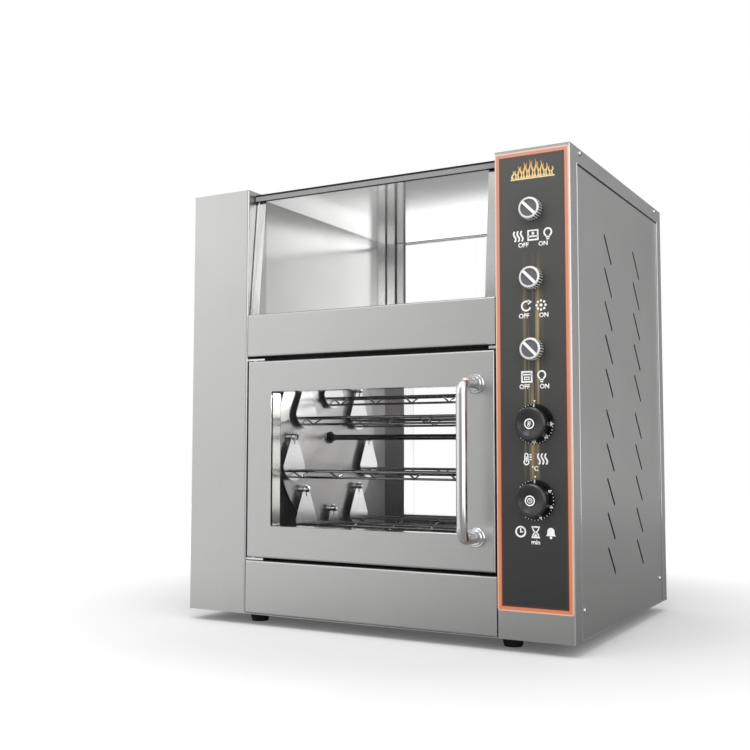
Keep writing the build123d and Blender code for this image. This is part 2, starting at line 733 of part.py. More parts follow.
def basket_pins():
    """A stepped pin with a domed head at each hanger, standing on the wheel plates."""
    collar = HANGER_STANDOFF - HANGER_PLAY
    head = HANGER_STANDOFF + HANGER_T + HANGER_PLAY
    end = head + PIN_HEAD_L
    pin = turned([
        (0, 0), (PIN_COLLAR_R, 0), (PIN_COLLAR_R, collar), (PIN_R, collar), (PIN_R, head), (PIN_HEAD_R, head),
        (PIN_HEAD_R, head + PIN_HEAD_SIDE), (PIN_HEAD_EDGE_R, end - PIN_HEAD_EDGE), (PIN_HEAD_TOP_R, end),
        (0, end),
    ])
    pins = []
    for y, z in pin_places():
        pins.append(Pos(-DISC_FACE, y, z) * FACE_RIGHT * pin)
        pins.append(Pos(DISC_FACE, y, z) * FACE_LEFT * pin)
    return pins


def hanger_outline():
    """Pear outline about its pin: a round head, straight sides and a round bottom."""
    reach = hypot(HANGER_HALF, HANGER_SHOULDER)
    tangent = atan2(-HANGER_SHOULDER, HANGER_HALF) + acos(HANGER_HEAD_R / reach)
    ty = HANGER_HEAD_R * cos(tangent)
    tz = HANGER_HEAD_R * sin(tangent)
    head = ThreePointArc((ty, tz), (0, HANGER_HEAD_R), (-ty, tz))
    left_shoulder = (-HANGER_HALF, -HANGER_SHOULDER)
    right_shoulder = (HANGER_HALF, -HANGER_SHOULDER)
    left = Line((-ty, tz), left_shoulder)
    bottom = ThreePointArc(left_shoulder, (0, -HANGER_DROP), right_shoulder)
    right = Line(right_shoulder, (ty, tz))
    return make_face([head, left, bottom, right])


def hanger():
    """A flat hanger whose inner face is at x = 0, with a pin hole and a keyhole slot below it."""
    slot_top = Pos(0, -KEY_SLOT_DROP / 2) * Rectangle(KEY_SLOT_W, KEY_SLOT_DROP - KEY_SLOT_W)
    slot_end = Pos(0, -KEY_SLOT_DROP + KEY_SLOT_W / 2) * Circle(KEY_SLOT_W / 2)
    face = hanger_outline() - Circle(PIN_R + RUNNING_FIT) - slot_top - slot_end
    upright = Plane((0, 0, 0), x_dir=(0, 1, 0), z_dir=(1, 0, 0))
    return upright.location * extrude(face, amount=HANGER_T)


def basket_rack():
    """Two side rails and a keel rail, joined by bent cross wires."""
    span = (-HANGER_IN, HANGER_IN)
    rack = rod_x(span, -RAIL_HALF, -RAIL_DROP, RAIL_R) + rod_x(span, RAIL_HALF, -RAIL_DROP, RAIL_R)
    rack += rod_x(span, 0, -KEEL_DROP, RAIL_R)
    first = CROSS_MARGIN - HANGER_IN
    step = -2 * first / (CROSS_COUNT - 1)
    for index in range(CROSS_COUNT):
        x = first + index * step
        for side in (-1, 1):
            wire = Line((x, side * RAIL_HALF, -RAIL_DROP), (x, 0, -KEEL_DROP))
            section = Plane(wire @ 0, z_dir=wire % 0) * Circle(CROSS_R)
            rack += sweep(section, path=wire)
    return rack


def basket(place):
    """One basket: a left hanger, a right hanger and the wire rack between them."""
    y, z = place
    pieces = [Pos(-HANGER_OUT, 0, 0) * hanger(), Pos(HANGER_IN, 0, 0) * hanger(), basket_rack()]
    return [Pos(0, y, z) * piece for piece in pieces]


def axle_bushes():
    bush = turned([
        (AXLE_R + RUNNING_FIT, -BUSH_FLANGE_T), (BUSH_FLANGE_R, -BUSH_FLANGE_T), (BUSH_FLANGE_R, 0),
        (BUSH_R, 0), (BUSH_R, BUSH_LENGTH), (AXLE_R + RUNNING_FIT, BUSH_LENGTH),
    ])
    left = Pos(-CAVITY_HALF, AXLE_Y, AXLE_Z) * FACE_LEFT * bush
    right = Pos(CAVITY_HALF, AXLE_Y, AXLE_Z) * FACE_RIGHT * bush
    return [left, right]


def standoff_places():
    offsets = (-STANDOFF_PITCH / 2, STANDOFF_PITCH / 2)
    return [(AXLE_Y + dy, AXLE_Z + dz) for dy in offsets for dz in offsets]


def motor_bracket():
    """A square plate on four posts outside the right cavity wall."""
    half = BRACKET_SIZE / 2
    plate_x = (DRIVE_FACE - BRACKET_T, DRIVE_FACE)
    bracket = block(plate_x, (AXLE_Y - half, AXLE_Y + half), (AXLE_Z - half, AXLE_Z + half))
    bracket -= rod_x(plate_x, AXLE_Y, AXLE_Z, BRACKET_HOLE_R)
    for y, z in standoff_places():
        bracket += rod_x((LINER_X, DRIVE_FACE - BRACKET_T), y, z, STANDOFF_R)
    return bracket


def gearmotor():
    half = GEARBOX_SIZE / 2
    end = DRIVE_FACE + GEARBOX_L
    motor = block((DRIVE_FACE, end), (AXLE_Y - half, AXLE_Y + half), (AXLE_Z - half, AXLE_Z + half))
    motor += rod_x((end, end + MOTOR_L), AXLE_Y, AXLE_Z, MOTOR_R)
    socket_x = (DRIVE_FACE - OVERCUT, DRIVE_FACE + DRIVE_ENGAGE + SPINDLE_END_PLAY)
    return motor - rod_x(socket_x, AXLE_Y, AXLE_Z, AXLE_R + RUNNING_FIT)


# Oven door

WINDOW = (
    (WINDOW_LEFT - DOOR_HALF, DOOR_HALF - WINDOW_RIGHT),
    (DOOR_LOW_Z + WINDOW_LOW, DOOR_TOP_Z - WINDOW_HIGH),
)


def window_cutter():
    cutter = block(WINDOW[0], (-OVERCUT, DOOR_T + OVERCUT), WINDOW[1])
    return fillet(cutter.edges().filter_by(Axis.Y), WINDOW_CORNER_R)


def door_skin():
    """Outer sheet with bent edges, a window opening and two holes for the hinge pins."""
    skin = block(DOOR_EDGE[0], (0, DOOR_T - LINER), DOOR_EDGE[1])
    skin = fillet(skin.faces().sort_by(Axis.Y)[0].edges(), BEND_R)
    inner = grown(DOOR_EDGE, -SHEET)
    hollow = block(inner[0], (SHEET, DOOR_T + OVERCUT), inner[1])
    hollow = fillet(hollow.faces().sort_by(Axis.Y)[0].edges(), BEND_R - SHEET)
    pin_hole = rod_z(HINGE_X, HINGE_Y, (0, BODY_H), HINGE_PIN_R + RUNNING_FIT)
    return skin - hollow - window_cutter() - pin_hole


def door_liner():
    """Inner sheet with a reveal that lines the window opening."""
    sheet = block(DOOR_EDGE[0], (DOOR_T - LINER, DOOR_T), DOOR_EDGE[1])
    wall = grown(WINDOW, LINER)
    reveal = block(wall[0], (SHEET + GLASS_T, DOOR_T), wall[1])
    return sheet + reveal - window_cutter()


def door_glass():
    """An outer pane behind the skin and an inner pane inside the reveal."""
    outer = grown(WINDOW, GLASS_LAP)
    outer_pane = block(outer[0], (SHEET, SHEET + GLASS_T), outer[1])
    front = DOOR_T - INNER_GLASS_SETBACK - GLASS_T
    inner_pane = block(WINDOW[0], (front, front + GLASS_T), WINDOW[1])
    inner_pane = fillet(inner_pane.edges().filter_by(Axis.Y), WINDOW_CORNER_R)
    return [outer_pane, inner_pane]


def door_gasket():
    outer = grown(DOOR_EDGE, -GASKET_INSET)
    return ring_plate(outer, grown(outer, -GASKET_W), (DOOR_T, DOOR_T + GASKET_T))


HANDLE_MID_Z = (DOOR_LOW_Z + DOOR_TOP_Z) / 2
HANDLE_ENDS = (HANDLE_MID_Z - HANDLE_SPAN / 2, HANDLE_MID_Z + HANDLE_SPAN / 2)


def door_handle():
    low, high = HANDLE_ENDS
    path = FilletPolyline(
        (HANDLE_X, 0, low), (HANDLE_X, -HANDLE_STAND, low), (HANDLE_X, -HANDLE_STAND, high),
        (HANDLE_X, 0, high), radius=HANDLE_BEND,
    )
    section = Plane((HANDLE_X, 0, low), z_dir=(0, -1, 0)) * Circle(HANDLE_R)
    return sweep(section, path=path)


def handle_rosettes():
    bore = HANDLE_R + PRESS_FIT
    end = ROSETTE_T + ROSETTE_STEP_T
    rosette = turned([
        (bore, 0), (ROSETTE_R, 0), (ROSETTE_R, ROSETTE_T - ROSETTE_CHAMFER),
        (ROSETTE_R - ROSETTE_CHAMFER, ROSETTE_T), (ROSETTE_STEP_R, ROSETTE_T),
        (ROSETTE_STEP_R, end - ROSETTE_CHAMFER), (ROSETTE_STEP_R - ROSETTE_CHAMFER, end), (bore, end),
    ])
    return [Pos(HANDLE_X, 0, z) * FACE_FRONT * rosette for z in HANDLE_ENDS]


def hinge_blocks():
    """Upper and lower plates on the left column, each with a pin into the door."""
    plate_x = (-INNER, HINGE_PLATE_L - INNER)
    plate_y = (BEND_R, BEND_R + HINGE_PLATE_D)
    blocks = []
    for edge, outward in ((DOOR_TOP_Z, 1), (DOOR_LOW_Z, -1)):
        near = edge + outward * HINGE_DOOR_GAP
        plate = block(plate_x, plate_y, (near, near + outward * HINGE_PLATE_T))
        blocks.append(plate + rod_z(HINGE_X, HINGE_Y, (edge - outward * HINGE_PIN_REACH, near), HINGE_PIN_R))
    return blocks


def door_keeper():
    """A small steel block on the right column, in the gap above the door."""
    low = DOOR_TOP_Z + (DOOR_GAP_HIGH - KEEPER_T) / 2
    return block((INNER - KEEPER_L, INNER), (BEND_R, BEND_R + KEEPER_D), (low, low + KEEPER_T))


# Display cabinet

def flange_y(z):
    """Front face of the slanted flanges at a height."""
    return FLANGE_LOW_Y + (z - SILL_TOP_Z) * FLANGE_SLOPE


def display_wall(side):
    """A side wall with a slanted flange to the column and a rear post turned inwards."""
    wall_x = (side * DISPLAY_HALF, side * DISPLAY_OUT)
    front = FLANGE_LOW_Y
    top = flange_y(CEILING_Z)
    wall = side_plate([
        (front, DISPLAY_FLOOR_Z - LINER), (front, SILL_TOP_Z), (top, CEILING_Z), (DISPLAY_REAR, CEILING_Z),
        (DISPLAY_REAR, DISPLAY_FLOOR_Z - LINER),
    ], wall_x)
    flange = side_plate([
        (front, SILL_TOP_Z), (top, CEILING_Z), (top + LINER, CEILING_Z), (front + LINER, SILL_TOP_Z),
    ], (side * DISPLAY_HALF, side * (INNER - SEAM)))
    post_x = (side * (DISPLAY_HALF - REAR_POST_W), side * DISPLAY_OUT)
    post = block(post_x, (DISPLAY_REAR - LINER, DISPLAY_REAR), (DISPLAY_FLOOR_Z, CEILING_Z))
    return wall + flange + post


def display_walls():
    return [display_wall(side) for side in (-1, 1)]


def display_floor():
    """Floor sheet with a front upstand behind the sill."""
    x_range = (-DISPLAY_HALF, DISPLAY_HALF)
    floor = block(x_range, (FLANGE_LOW_Y, DISPLAY_REAR), (DISPLAY_FLOOR_Z - LINER, DISPLAY_FLOOR_Z))
    upstand_z = (DISPLAY_FLOOR_Z - LINER, SILL_TOP_Z)
    return floor + block(x_range, (FLANGE_LOW_Y, FLANGE_LOW_Y + LINER), upstand_z)


CEILING_FRONT = FLANGE_HIGH_Y + LINER


def display_ceiling():
    x_range = (-DISPLAY_OUT, DISPLAY_OUT)
    return block(x_range, (CEILING_FRONT, DISPLAY_REAR), (CEILING_Z, CEILING_Z + LINER))


def display_lamp():
    """A lamp batten along the right wall, under the ceiling: a base with end caps and a half-round cover."""
    x1 = DISPLAY_HALF - BATTEN_WALL_GAP
    x_range = (x1 - BATTEN_W, x1)
    middle = x1 - BATTEN_W / 2
    y0 = CEILING_FRONT + BATTEN_FRONT
    y1 = DISPLAY_REAR - BATTEN_REAR
    low = CEILING_Z - BATTEN_H
    base = block(x_range, (y0, y1), (low, CEILING_Z))
    for cap_y in ((y0, y0 + BATTEN_CAP), (y1 - BATTEN_CAP, y1)):
        base += block(x_range, cap_y, (low - BATTEN_COVER_R, low))
    tube = rod_y(middle, (y0 + BATTEN_CAP, y1 - BATTEN_CAP), low, BATTEN_COVER_R)
    return [base, tube - block(x_range, (y0, y1), (low, CEILING_Z + OVERCUT))]


def display_front_glass():
    low = SILL_TOP_Z
    high = CEILING_Z + GLASS_UP
    half = INNER - SEAM
    return side_plate([
        (flange_y(low) - GLASS_T, low), (flange_y(high) - GLASS_T, high), (flange_y(high), high),
        (flange_y(low), low),
    ], (-half, half))


TRACK_Y = (DISPLAY_REAR, DISPLAY_REAR + TRACK_D)
TRACK_LOW_Z = (SLEEVE_LOW_Z, SLEEVE_LOW_Z + TRACK_LOW_H)
TRACK_TOP_Z = (CEILING_Z, BAY_TOP_Z)
GROOVE_Y = (DISPLAY_REAR + GROOVE_FRONT, DISPLAY_REAR + GROOVE_FRONT + GROOVE_STEP)


def rear_door_tracks():
    """Upper and lower rails with two grooves each for the sliding rear doors."""
    x_range = (-DISPLAY_OUT, DISPLAY_OUT)
    low = block(x_range, TRACK_Y, TRACK_LOW_Z)
    top = block(x_range, TRACK_Y, TRACK_TOP_Z)
    low_groove_z = (TRACK_LOW_Z[1] - GROOVE_LOW_DEPTH, TRACK_LOW_Z[1] + OVERCUT)
    top_groove_z = (TRACK_TOP_Z[0] - OVERCUT, TRACK_TOP_Z[0] + GROOVE_TOP_DEPTH)
    for middle in GROOVE_Y:
        groove_y = (middle - GROOVE_W / 2, middle + GROOVE_W / 2)
        low -= block((-HALF_W, HALF_W), groove_y, low_groove_z)
        top -= block((-HALF_W, HALF_W), groove_y, top_groove_z)
    return [low, top]


def rear_door(side):
    """A sliding pane with a steel stile along its outer edge; the left door runs in the front groove."""
    middle = GROOVE_Y[0] if side < 0 else GROOVE_Y[1]
    outer = side * (DISPLAY_OUT - REAR_DOOR_END)
    glass_x = (outer - side * STILE_WALL, -side * REAR_DOOR_LAP)
    glass_y = (middle - REAR_GLASS_T / 2, middle + REAR_GLASS_T / 2)
    glass_low = TRACK_LOW_Z[1] - GROOVE_LOW_DEPTH + REAR_GLASS_LIFT
    glass_high = TRACK_TOP_Z[0] + GROOVE_TOP_DEPTH - REAR_GLASS_TOP_PLAY
    stile_x = (outer, outer - side * STILE_W)
    stile_y = (middle - STILE_T / 2, middle + STILE_T / 2)
    stile = block(stile_x, stile_y, (TRACK_LOW_Z[1] + STILE_END_GAP, TRACK_TOP_Z[0] - STILE_END_GAP))
    pane = block(glass_x, glass_y, (glass_low, glass_high))
    return [pane, stile - pane]


# Control strip

FASCIA_TOP_Z = BODY_H - FASCIA_TOP_GAP
CABINET_LIGHT_Z = FASCIA_TOP_Z - CABINET_LIGHT_DROP
ROTATION_Z = FASCIA_TOP_Z - ROTATION_DROP
OVEN_LIGHT_Z = FASCIA_TOP_Z - OVEN_LIGHT_DROP
TEMPERATURE_Z = FASCIA_TOP_Z - TEMPERATURE_DROP
TIMER_Z = FASCIA_TOP_Z - TIMER_DROP
SWITCH_PLACES = (CABINET_LIGHT_Z, ROTATION_Z, OVEN_LIGHT_Z)


def control_holes():
    span = (-COLUMN_RETURN, COLUMN_RETURN)
    return [rod_y(KNOB_X, span, z, BUSHING_R + BUSHING_FIT) for z in (*SWITCH_PLACES, TEMPERATURE_Z, TIMER_Z)]


def control_fascia():
    x_range = (INNER + FASCIA_INNER_GAP, HALF_W - FASCIA_OUTER_GAP)
    plate = block(x_range, (-FASCIA_T, 0), (FASCIA_LOW_Z, FASCIA_TOP_Z))
    plate = fillet(plate.edges().filter_by(Axis.Y), BEND_R)
    return plate - control_holes()


def control_body(size, depth, z):
    """A square switch housing behind the column face, with a threaded neck and a spindle bore."""
    half = size / 2
    body = block((KNOB_X - half, KNOB_X + half), (SHEET, SHEET + depth), (z - half, z + half))
    body += rod_y(KNOB_X, (-FASCIA_T, SHEET), z, BUSHING_R)
    bore_end = SPINDLE_REACH - FASCIA_T - KNOB_GAP + SPINDLE_END_PLAY
    return body - rod_y(KNOB_X, (-OVERCUT, bore_end), z, SPINDLE_R + RUNNING_FIT)


def rotary_switches():
    return [control_body(SWITCH_BODY, SWITCH_BODY_D, z) for z in SWITCH_PLACES]


def thermostat():
    """The housing, and the capillary that runs from it to the sensing bulb in the oven."""
    body = control_body(THERMOSTAT_BODY, THERMOSTAT_BODY_D, TEMPERATURE_Z)
    start = (KNOB_X, SHEET + THERMOSTAT_BODY_D, TEMPERATURE_Z)
    run_y = start[1] + CAPILLARY_OUT
    points = [
        start, (KNOB_X, run_y, TEMPERATURE_Z), (KNOB_X, run_y, BULB_Z), (KNOB_X, BULB_END_Y, BULB_Z),
        (BULB_X, BULB_END_Y, BULB_Z),
    ]
    path = FilletPolyline(*points, radius=CAPILLARY_BEND)
    tube = sweep(Plane(start, z_dir=(0, 1, 0)) * Circle(CAPILLARY_R), path=path)
    bulb = rod_y(BULB_X, (BULB_END_Y - BULB_LENGTH, BULB_END_Y + BULB_R), BULB_Z, BULB_R)
    return [body, tube + bulb]


def timer():
    return control_body(TIMER_BODY, TIMER_BODY_D, TIMER_Z)


def knob_place(z):
    return Pos(KNOB_X, -(FASCIA_T + KNOB_GAP), z) * FACE_FRONT


def switch_knob(z):
    """A short metal knob with a dished face and a raised bar across it."""
    rim_r = SWITCH_KNOB_R - SWITCH_RIM
    dish = SWITCH_KNOB_H - SWITCH_DISH
    edge_r = SWITCH_KNOB_R - KNOB_CHAMFER
    knob = turned([
        (0, -SPINDLE_REACH), (SPINDLE_R, -SPINDLE_REACH), (SPINDLE_R, 0), (edge_r, 0),
        (SWITCH_KNOB_R, KNOB_CHAMFER), (SWITCH_KNOB_R, SWITCH_KNOB_H - KNOB_CHAMFER), (edge_r, SWITCH_KNOB_H),
        (rim_r, SWITCH_KNOB_H), (rim_r, dish), (0, dish),
    ])
    bar = Pos(0, 0, SWITCH_KNOB_H - SWITCH_DISH / 2) * Box(2 * rim_r, SWITCH_BAR_W, SWITCH_DISH)
    bar &= Pos(0, 0, SWITCH_KNOB_H / 2) * Cylinder(rim_r, SWITCH_KNOB_H)
    return knob_place(z) * (knob + Rot(0, 0, SWITCH_BAR_ANGLE) * bar)


def dial_knob(z):
    """A large knob with a dial skirt, a dished face and a round badge in the middle."""
    face = DIAL_KNOB_H
    dish = face - DIAL_DISH
    badge = dish + DIAL_BADGE_T
    knob = turned([
        (0, -SPINDLE_REACH), (SPINDLE_R, -SPINDLE_REACH), (SPINDLE_R, 0), (DIAL_R, 0), (DIAL_R, DIAL_RIM),
        (DIAL_KNOB_R - DIAL_NECK, DIAL_T), (DIAL_KNOB_R, DIAL_T + DIAL_NECK_H),
        (DIAL_KNOB_R, face - DIAL_EDGE_H), (DIAL_KNOB_R - DIAL_EDGE, face), (DIAL_DISH_R, face),
        (DIAL_BADGE_R, dish), (DIAL_BADGE_R, badge), (0, badge),
    ])
    return knob_place(z) * knob


# All the pieces, by name

def all_parts():
    parts = {
        "base_pan": base_pan(),
        "feet": feet(),
        "left_front_column": front_column(-1),
        "right_front_column": right_front_column(),
        "left_side_panel": side_panel(-1),
        "right_side_panel": side_panel(1),
        "column_caps": column_caps(),
        "roof_panel": roof_panel(),
        "plinth_panel": plinth_panel(),
        "sill_panel": sill_panel(),
        "back_panel": back_panel(),
        "rear_sleeves": rear_sleeves(),
        "rear_window_glass": rear_window_glass(),
        "cable_gland": cable_gland(),
        "case_screws": case_screws(),
        "oven_front_frame": oven_front_frame(),
        "oven_liner": oven_liner(),
        "insulation": insulation(),
        "heating_elements": heating_elements(),
        "crumb_tray": crumb_tray(),
        "oven_lamp": oven_lamp(),
        "axle_bushes": axle_bushes(),
        "motor_bracket": motor_bracket(),
        "gearmotor": gearmotor(),
        "hinge_blocks": hinge_blocks(),
        "door_keeper": door_keeper(),
        "display_walls": display_walls(),
        "display_floor": display_floor(),
        "display_ceiling": display_ceiling(),
        "display_lamp": display_lamp(),
        "display_front_glass": display_front_glass(),
        "rear_door_tracks": rear_door_tracks(),
        "control_fascia": control_fascia(),
        "rotary_switches": rotary_switches(),
        "thermostat": thermostat(),
        "timer": timer(),
        "door_skin": door_skin(),
        "door_liner": door_liner(),
        "door_glass": door_glass(),
        "door_gasket": door_gasket(),
        "door_handle": door_handle(),
        "handle_rosettes": handle_rosettes(),
        "wheel_plates": [wheel_plate(-1), wheel_plate(1)],
        "axle": axle(),
        "basket_pins": basket_pins(),
        "cabinet_light_knob": switch_knob(CABINET_LIGHT_Z),
        "rotation_knob": switch_knob(ROTATION_Z),
        "oven_light_knob": switch_knob(OVEN_LIGHT_Z),
        "temperature_knob": dial_knob(TEMPERATURE_Z),
        "timer_knob": dial_knob(TIMER_Z),
        "left_rear_door": rear_door(-1),
        "right_rear_door": rear_door(1),
    }
    for index, place in enumerate(pin_places()):
        parts[f"basket_{index + 1}"] = basket(place)
    return parts


def write_parts():
    os.makedirs("parts", exist_ok=True)
    parts = all_parts()
    for name, shape in parts.items():
        pieces = shape if isinstance(shape, list) else [shape]
        solids = [solid for piece in pieces for solid in piece.solids()]
        placed = [PLACE * solid for solid in solids]
        node = placed[0] if len(placed) == 1 else Compound(children=placed)
        export_step(node, f"parts/{name}.step")
    print(f"{len(parts)} pieces, casing {BODY_W:.0f} x {BODY_D:.0f} x {BODY_H + FOOT_H:.0f} mm")


write_parts()
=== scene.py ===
# %% [markdown]
# A countertop sweet potato roaster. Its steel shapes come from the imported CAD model, which this script
# loads as a fixed frame. Everything below adds what the eye sees and a CAD model does not hold: finishes,
# print, knurling, dial marks and light. All lengths are in metres, in the frame of the CAD model, with the
# floor at z = 0 and the front of the machine towards -y.

# %% Load the CAD frame
import bpy
import bmesh
from math import atan2, cos, pi, radians, sin
from mathutils import Matrix, Vector


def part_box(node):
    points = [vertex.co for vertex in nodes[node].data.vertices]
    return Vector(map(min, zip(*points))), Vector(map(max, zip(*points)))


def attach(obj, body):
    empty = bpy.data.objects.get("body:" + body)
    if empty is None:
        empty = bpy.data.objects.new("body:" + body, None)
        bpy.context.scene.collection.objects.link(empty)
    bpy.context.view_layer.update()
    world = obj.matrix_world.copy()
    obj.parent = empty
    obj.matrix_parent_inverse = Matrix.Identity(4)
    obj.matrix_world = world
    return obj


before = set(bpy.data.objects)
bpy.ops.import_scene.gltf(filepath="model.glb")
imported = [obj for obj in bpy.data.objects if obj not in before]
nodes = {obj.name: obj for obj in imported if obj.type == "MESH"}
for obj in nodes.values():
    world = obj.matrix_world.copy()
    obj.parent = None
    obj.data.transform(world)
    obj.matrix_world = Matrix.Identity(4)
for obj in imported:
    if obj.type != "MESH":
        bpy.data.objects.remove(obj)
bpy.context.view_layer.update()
MM = 0.001

# %% [markdown]
# The camera stands low and to the right of the machine, and looks slightly up, so that both the front and
# the right side show. Its place was worked out from the corners of the casing. One turn about the
# vertical, then the tilt, then a trace of roll give its direction.

# %% Place the camera
CAMERA_PLACE = (0.8068, -1.6241, 0.2882)
CAMERA_TURN = radians(29.5)
CAMERA_TILT = radians(4.1)
CAMERA_ROLL = radians(0.09)
SENSOR_WIDTH = 36.0
LENS = 49.38

scene = bpy.context.scene
scene.view_settings.view_transform = "Standard"
camera_data = bpy.data.cameras.new("camera")
camera_data.sensor_width = SENSOR_WIDTH
camera_data.lens = LENS
camera = bpy.data.objects.new("camera", camera_data)
turn = Matrix.Rotation(CAMERA_TURN, 4, "Z")
tilt = Matrix.Rotation(pi / 2 + CAMERA_TILT, 4, "X")
roll = Matrix.Rotation(CAMERA_ROLL, 4, "Z")
camera.matrix_world = Matrix.Translation(CAMERA_PLACE) @ turn @ tilt @ roll
scene.collection.objects.link(camera)
scene.camera = camera
print("camera at", CAMERA_PLACE, "lens", LENS)

# %% [markdown]
# A few helpers serve every finish. Colours are written as sRGB hex values, the way a colour picker shows
# them, and turned to the linear values that the renderer works with. One helper adds a node with its
# settings, and fills its inputs with plain values, hex colours or links from other nodes. The other two
# start a material and fill a colour ramp.

# %% Helpers for colours and nodes
def linear(code):
    """The linear RGBA value of an sRGB hex colour."""
    channels = [int(code[i:i + 2], 16) / 255 for i in (1, 3, 5)]
    return (*[c / 12.92 if c <= 0.04045 else ((c + 0.055) / 1.055) ** 2.4 for c in channels], 1.0)


def add(tree, kind, inputs=None, **settings):
    """Adds a node, sets its properties, and fills or links the inputs named; returns the node."""
    item = tree.nodes.new(kind)
    for key, value in settings.items():
        setattr(item, key, value)
    for key, value in (inputs or {}).items():
        socket = item.inputs[key] if isinstance(key, int) else next(
            s for s in item.inputs if s.name == key and s.enabled)
        if isinstance(value, bpy.types.Node):
            value = next(s for s in value.outputs if s.enabled)
        if isinstance(value, bpy.types.NodeSocket):
            tree.links.new(value, socket)
        elif isinstance(value, str) and value.startswith("#"):
            socket.default_value = linear(value)
        else:
            socket.default_value = value
    return item


def new_material(name):
    """An empty material and its node tree."""
    material = bpy.data.materials.new(name)
    material.use_nodes = True
    material.node_tree.nodes.clear()
    return material, material.node_tree


def fill_ramp(ramp, stops):
    """Gives a colour ramp its stops: places, and colours as hex codes or linear grey levels."""
    elements = ramp.color_ramp.elements
    while len(elements) < len(stops):
        elements.new(1.0)
    for element, (place, tone) in zip(elements, stops):
        element.position = place
        element.color = linear(tone) if isinstance(tone, str) else (tone, tone, tone, 1.0)


print("white is", linear("#ffffff"), "and mid grey", linear("#808080")[0])

# %% [markdown]
# Bare metal has no colour of its own: it shows the room. The room here is a plain studio. The wall to
# the left is white, the side behind the camera falls off to grey, and a bright upright strip stands to
# the right of the camera, so that every upright bend shows a thin white line. A grey wall behind the
# machine on the right is what the side panel mirrors. The radial gradient gives the compass direction of
# a ray, and a ramp turns it to a level. The walls on the camera's side get lighter from the floor up, and
# those behind the machine get lighter towards the floor. What the camera sees directly, or through glass,
# is plain white.

# %% Studio walls
OVERHEAD_LEVEL = 0.95
OVERHEAD_RISE = (0.40, 0.85)
SHADE_SLOPE = (0.04, -0.16)
SHADE_LEVELS = (0.72, 1.14)
# Places along the ramp: 0 is the left, 0.25 behind the camera, 0.5 the right, 0.75 behind the machine.
WALL_LEVELS = [
    (0.0, 1.20), (0.125, 1.20), (0.144, 1.11), (0.167, 0.92), (0.182, 0.60), (0.192, 0.50), (0.25, 0.42),
    (0.325, 0.45), (0.345, 2.0), (0.485, 2.0), (0.505, 0.90), (0.625, 0.35), (0.648, 0.50), (0.662, 1.45),
    (0.676, 1.45), (0.688, 0.37), (0.762, 0.37), (0.783, 1.25), (0.90, 1.2), (1.0, 1.15),
]

world = bpy.data.worlds.new("studio")
scene.world = world
world.use_nodes = True
tree = world.node_tree
tree.nodes.clear()
spot = add(tree, "ShaderNodeTexCoord").outputs["Generated"]
compass = add(tree, "ShaderNodeTexGradient", {"Vector": spot}, gradient_type="RADIAL")
walls = add(tree, "ShaderNodeValToRGB", {"Fac": compass.outputs["Fac"]})
fill_ramp(walls, WALL_LEVELS)
heading = add(tree, "ShaderNodeSeparateXYZ", {"Vector": spot}).outputs
slope = add(tree, "ShaderNodeMath", {0: heading["Y"], 1: heading["Z"]}, operation="MULTIPLY")
shade = add(tree, "ShaderNodeMapRange", {
    "Value": slope, "From Min": SHADE_SLOPE[0], "From Max": SHADE_SLOPE[1],
    "To Min": SHADE_LEVELS[0], "To Max": SHADE_LEVELS[1],
})
shaded = add(tree, "ShaderNodeVectorMath", {0: walls, "Scale": shade}, operation="SCALE")
height = add(tree, "ShaderNodeMapRange", {
    "Value": heading["Z"], "From Min": OVERHEAD_RISE[0], "From Max": OVERHEAD_RISE[1],
})
room = add(tree, "ShaderNodeMix", {
    "Factor": height, "A": shaded, "B": (*[OVERHEAD_LEVEL] * 3, 1.0),
}, data_type="RGBA")
path = add(tree, "ShaderNodeLightPath").outputs
direct = add(tree, "ShaderNodeMath", {
    0: path["Is Camera Ray"], 1: path["Is Transmission Ray"],
}, operation="MAXIMUM")
seen = add(tree, "ShaderNodeMix", {"Factor": direct, "A": room, "B": "#ffffff"}, data_type="RGBA")
backdrop = add(tree, "ShaderNodeBackground", {"Color": seen, "Strength": 1.0})
add(tree, "ShaderNodeOutputWorld", {"Surface": backdrop})
print("studio walls:", len(WALL_LEVELS), "levels")

# %% [markdown]
# The floor is a plain pale sheet that ends about two and a half metres behind the machine. A diffuse
# surface takes the soft shadow. Farther out a light of its own, for camera rays alone, lifts it to white.
# Metal sees the same sheet as a grey that gets lighter towards the front left, where the light falls.

# %% Floor
FLOOR_CORNERS = [(-3.0, -2.9), (3.0, -2.9), (3.0, 2.19), (-3.0, 2.72)]
LIFT_REACH = (0.45, 1.25)
LIFT_LEVELS = (0.09, 0.5)
LIGHTER_X = (0.25, -0.75)
LIGHTER_Y = (0.3, -0.3)
FARTHER = (1.2, 3.8)

material, tree = new_material("pale_studio_floor")
path = add(tree, "ShaderNodeLightPath").outputs
spot = add(tree, "ShaderNodeTexCoord").outputs["Object"]
place = add(tree, "ShaderNodeSeparateXYZ", {"Vector": spot}).outputs
leftward = add(tree, "ShaderNodeMapRange", {
    "Value": place["X"], "From Min": LIGHTER_X[0], "From Max": LIGHTER_X[1],
})
forward = add(tree, "ShaderNodeMapRange", {
    "Value": place["Y"], "From Min": LIGHTER_Y[0], "From Max": LIGHTER_Y[1],
})
lit = add(tree, "ShaderNodeMath", {0: leftward, 1: forward}, operation="MULTIPLY")
depth = add(tree, "ShaderNodeMath", {0: place["Y"], 1: place["X"]}, operation="SUBTRACT")
far = add(tree, "ShaderNodeMapRange", {"Value": depth, "From Min": FARTHER[0], "From Max": FARTHER[1]})
behind = add(tree, "ShaderNodeMix", {"Factor": far, "A": "#8a8a8a", "B": "#929292"}, data_type="RGBA")
mirrored = add(tree, "ShaderNodeMix", {"Factor": lit, "A": behind, "B": "#dadada"}, data_type="RGBA")
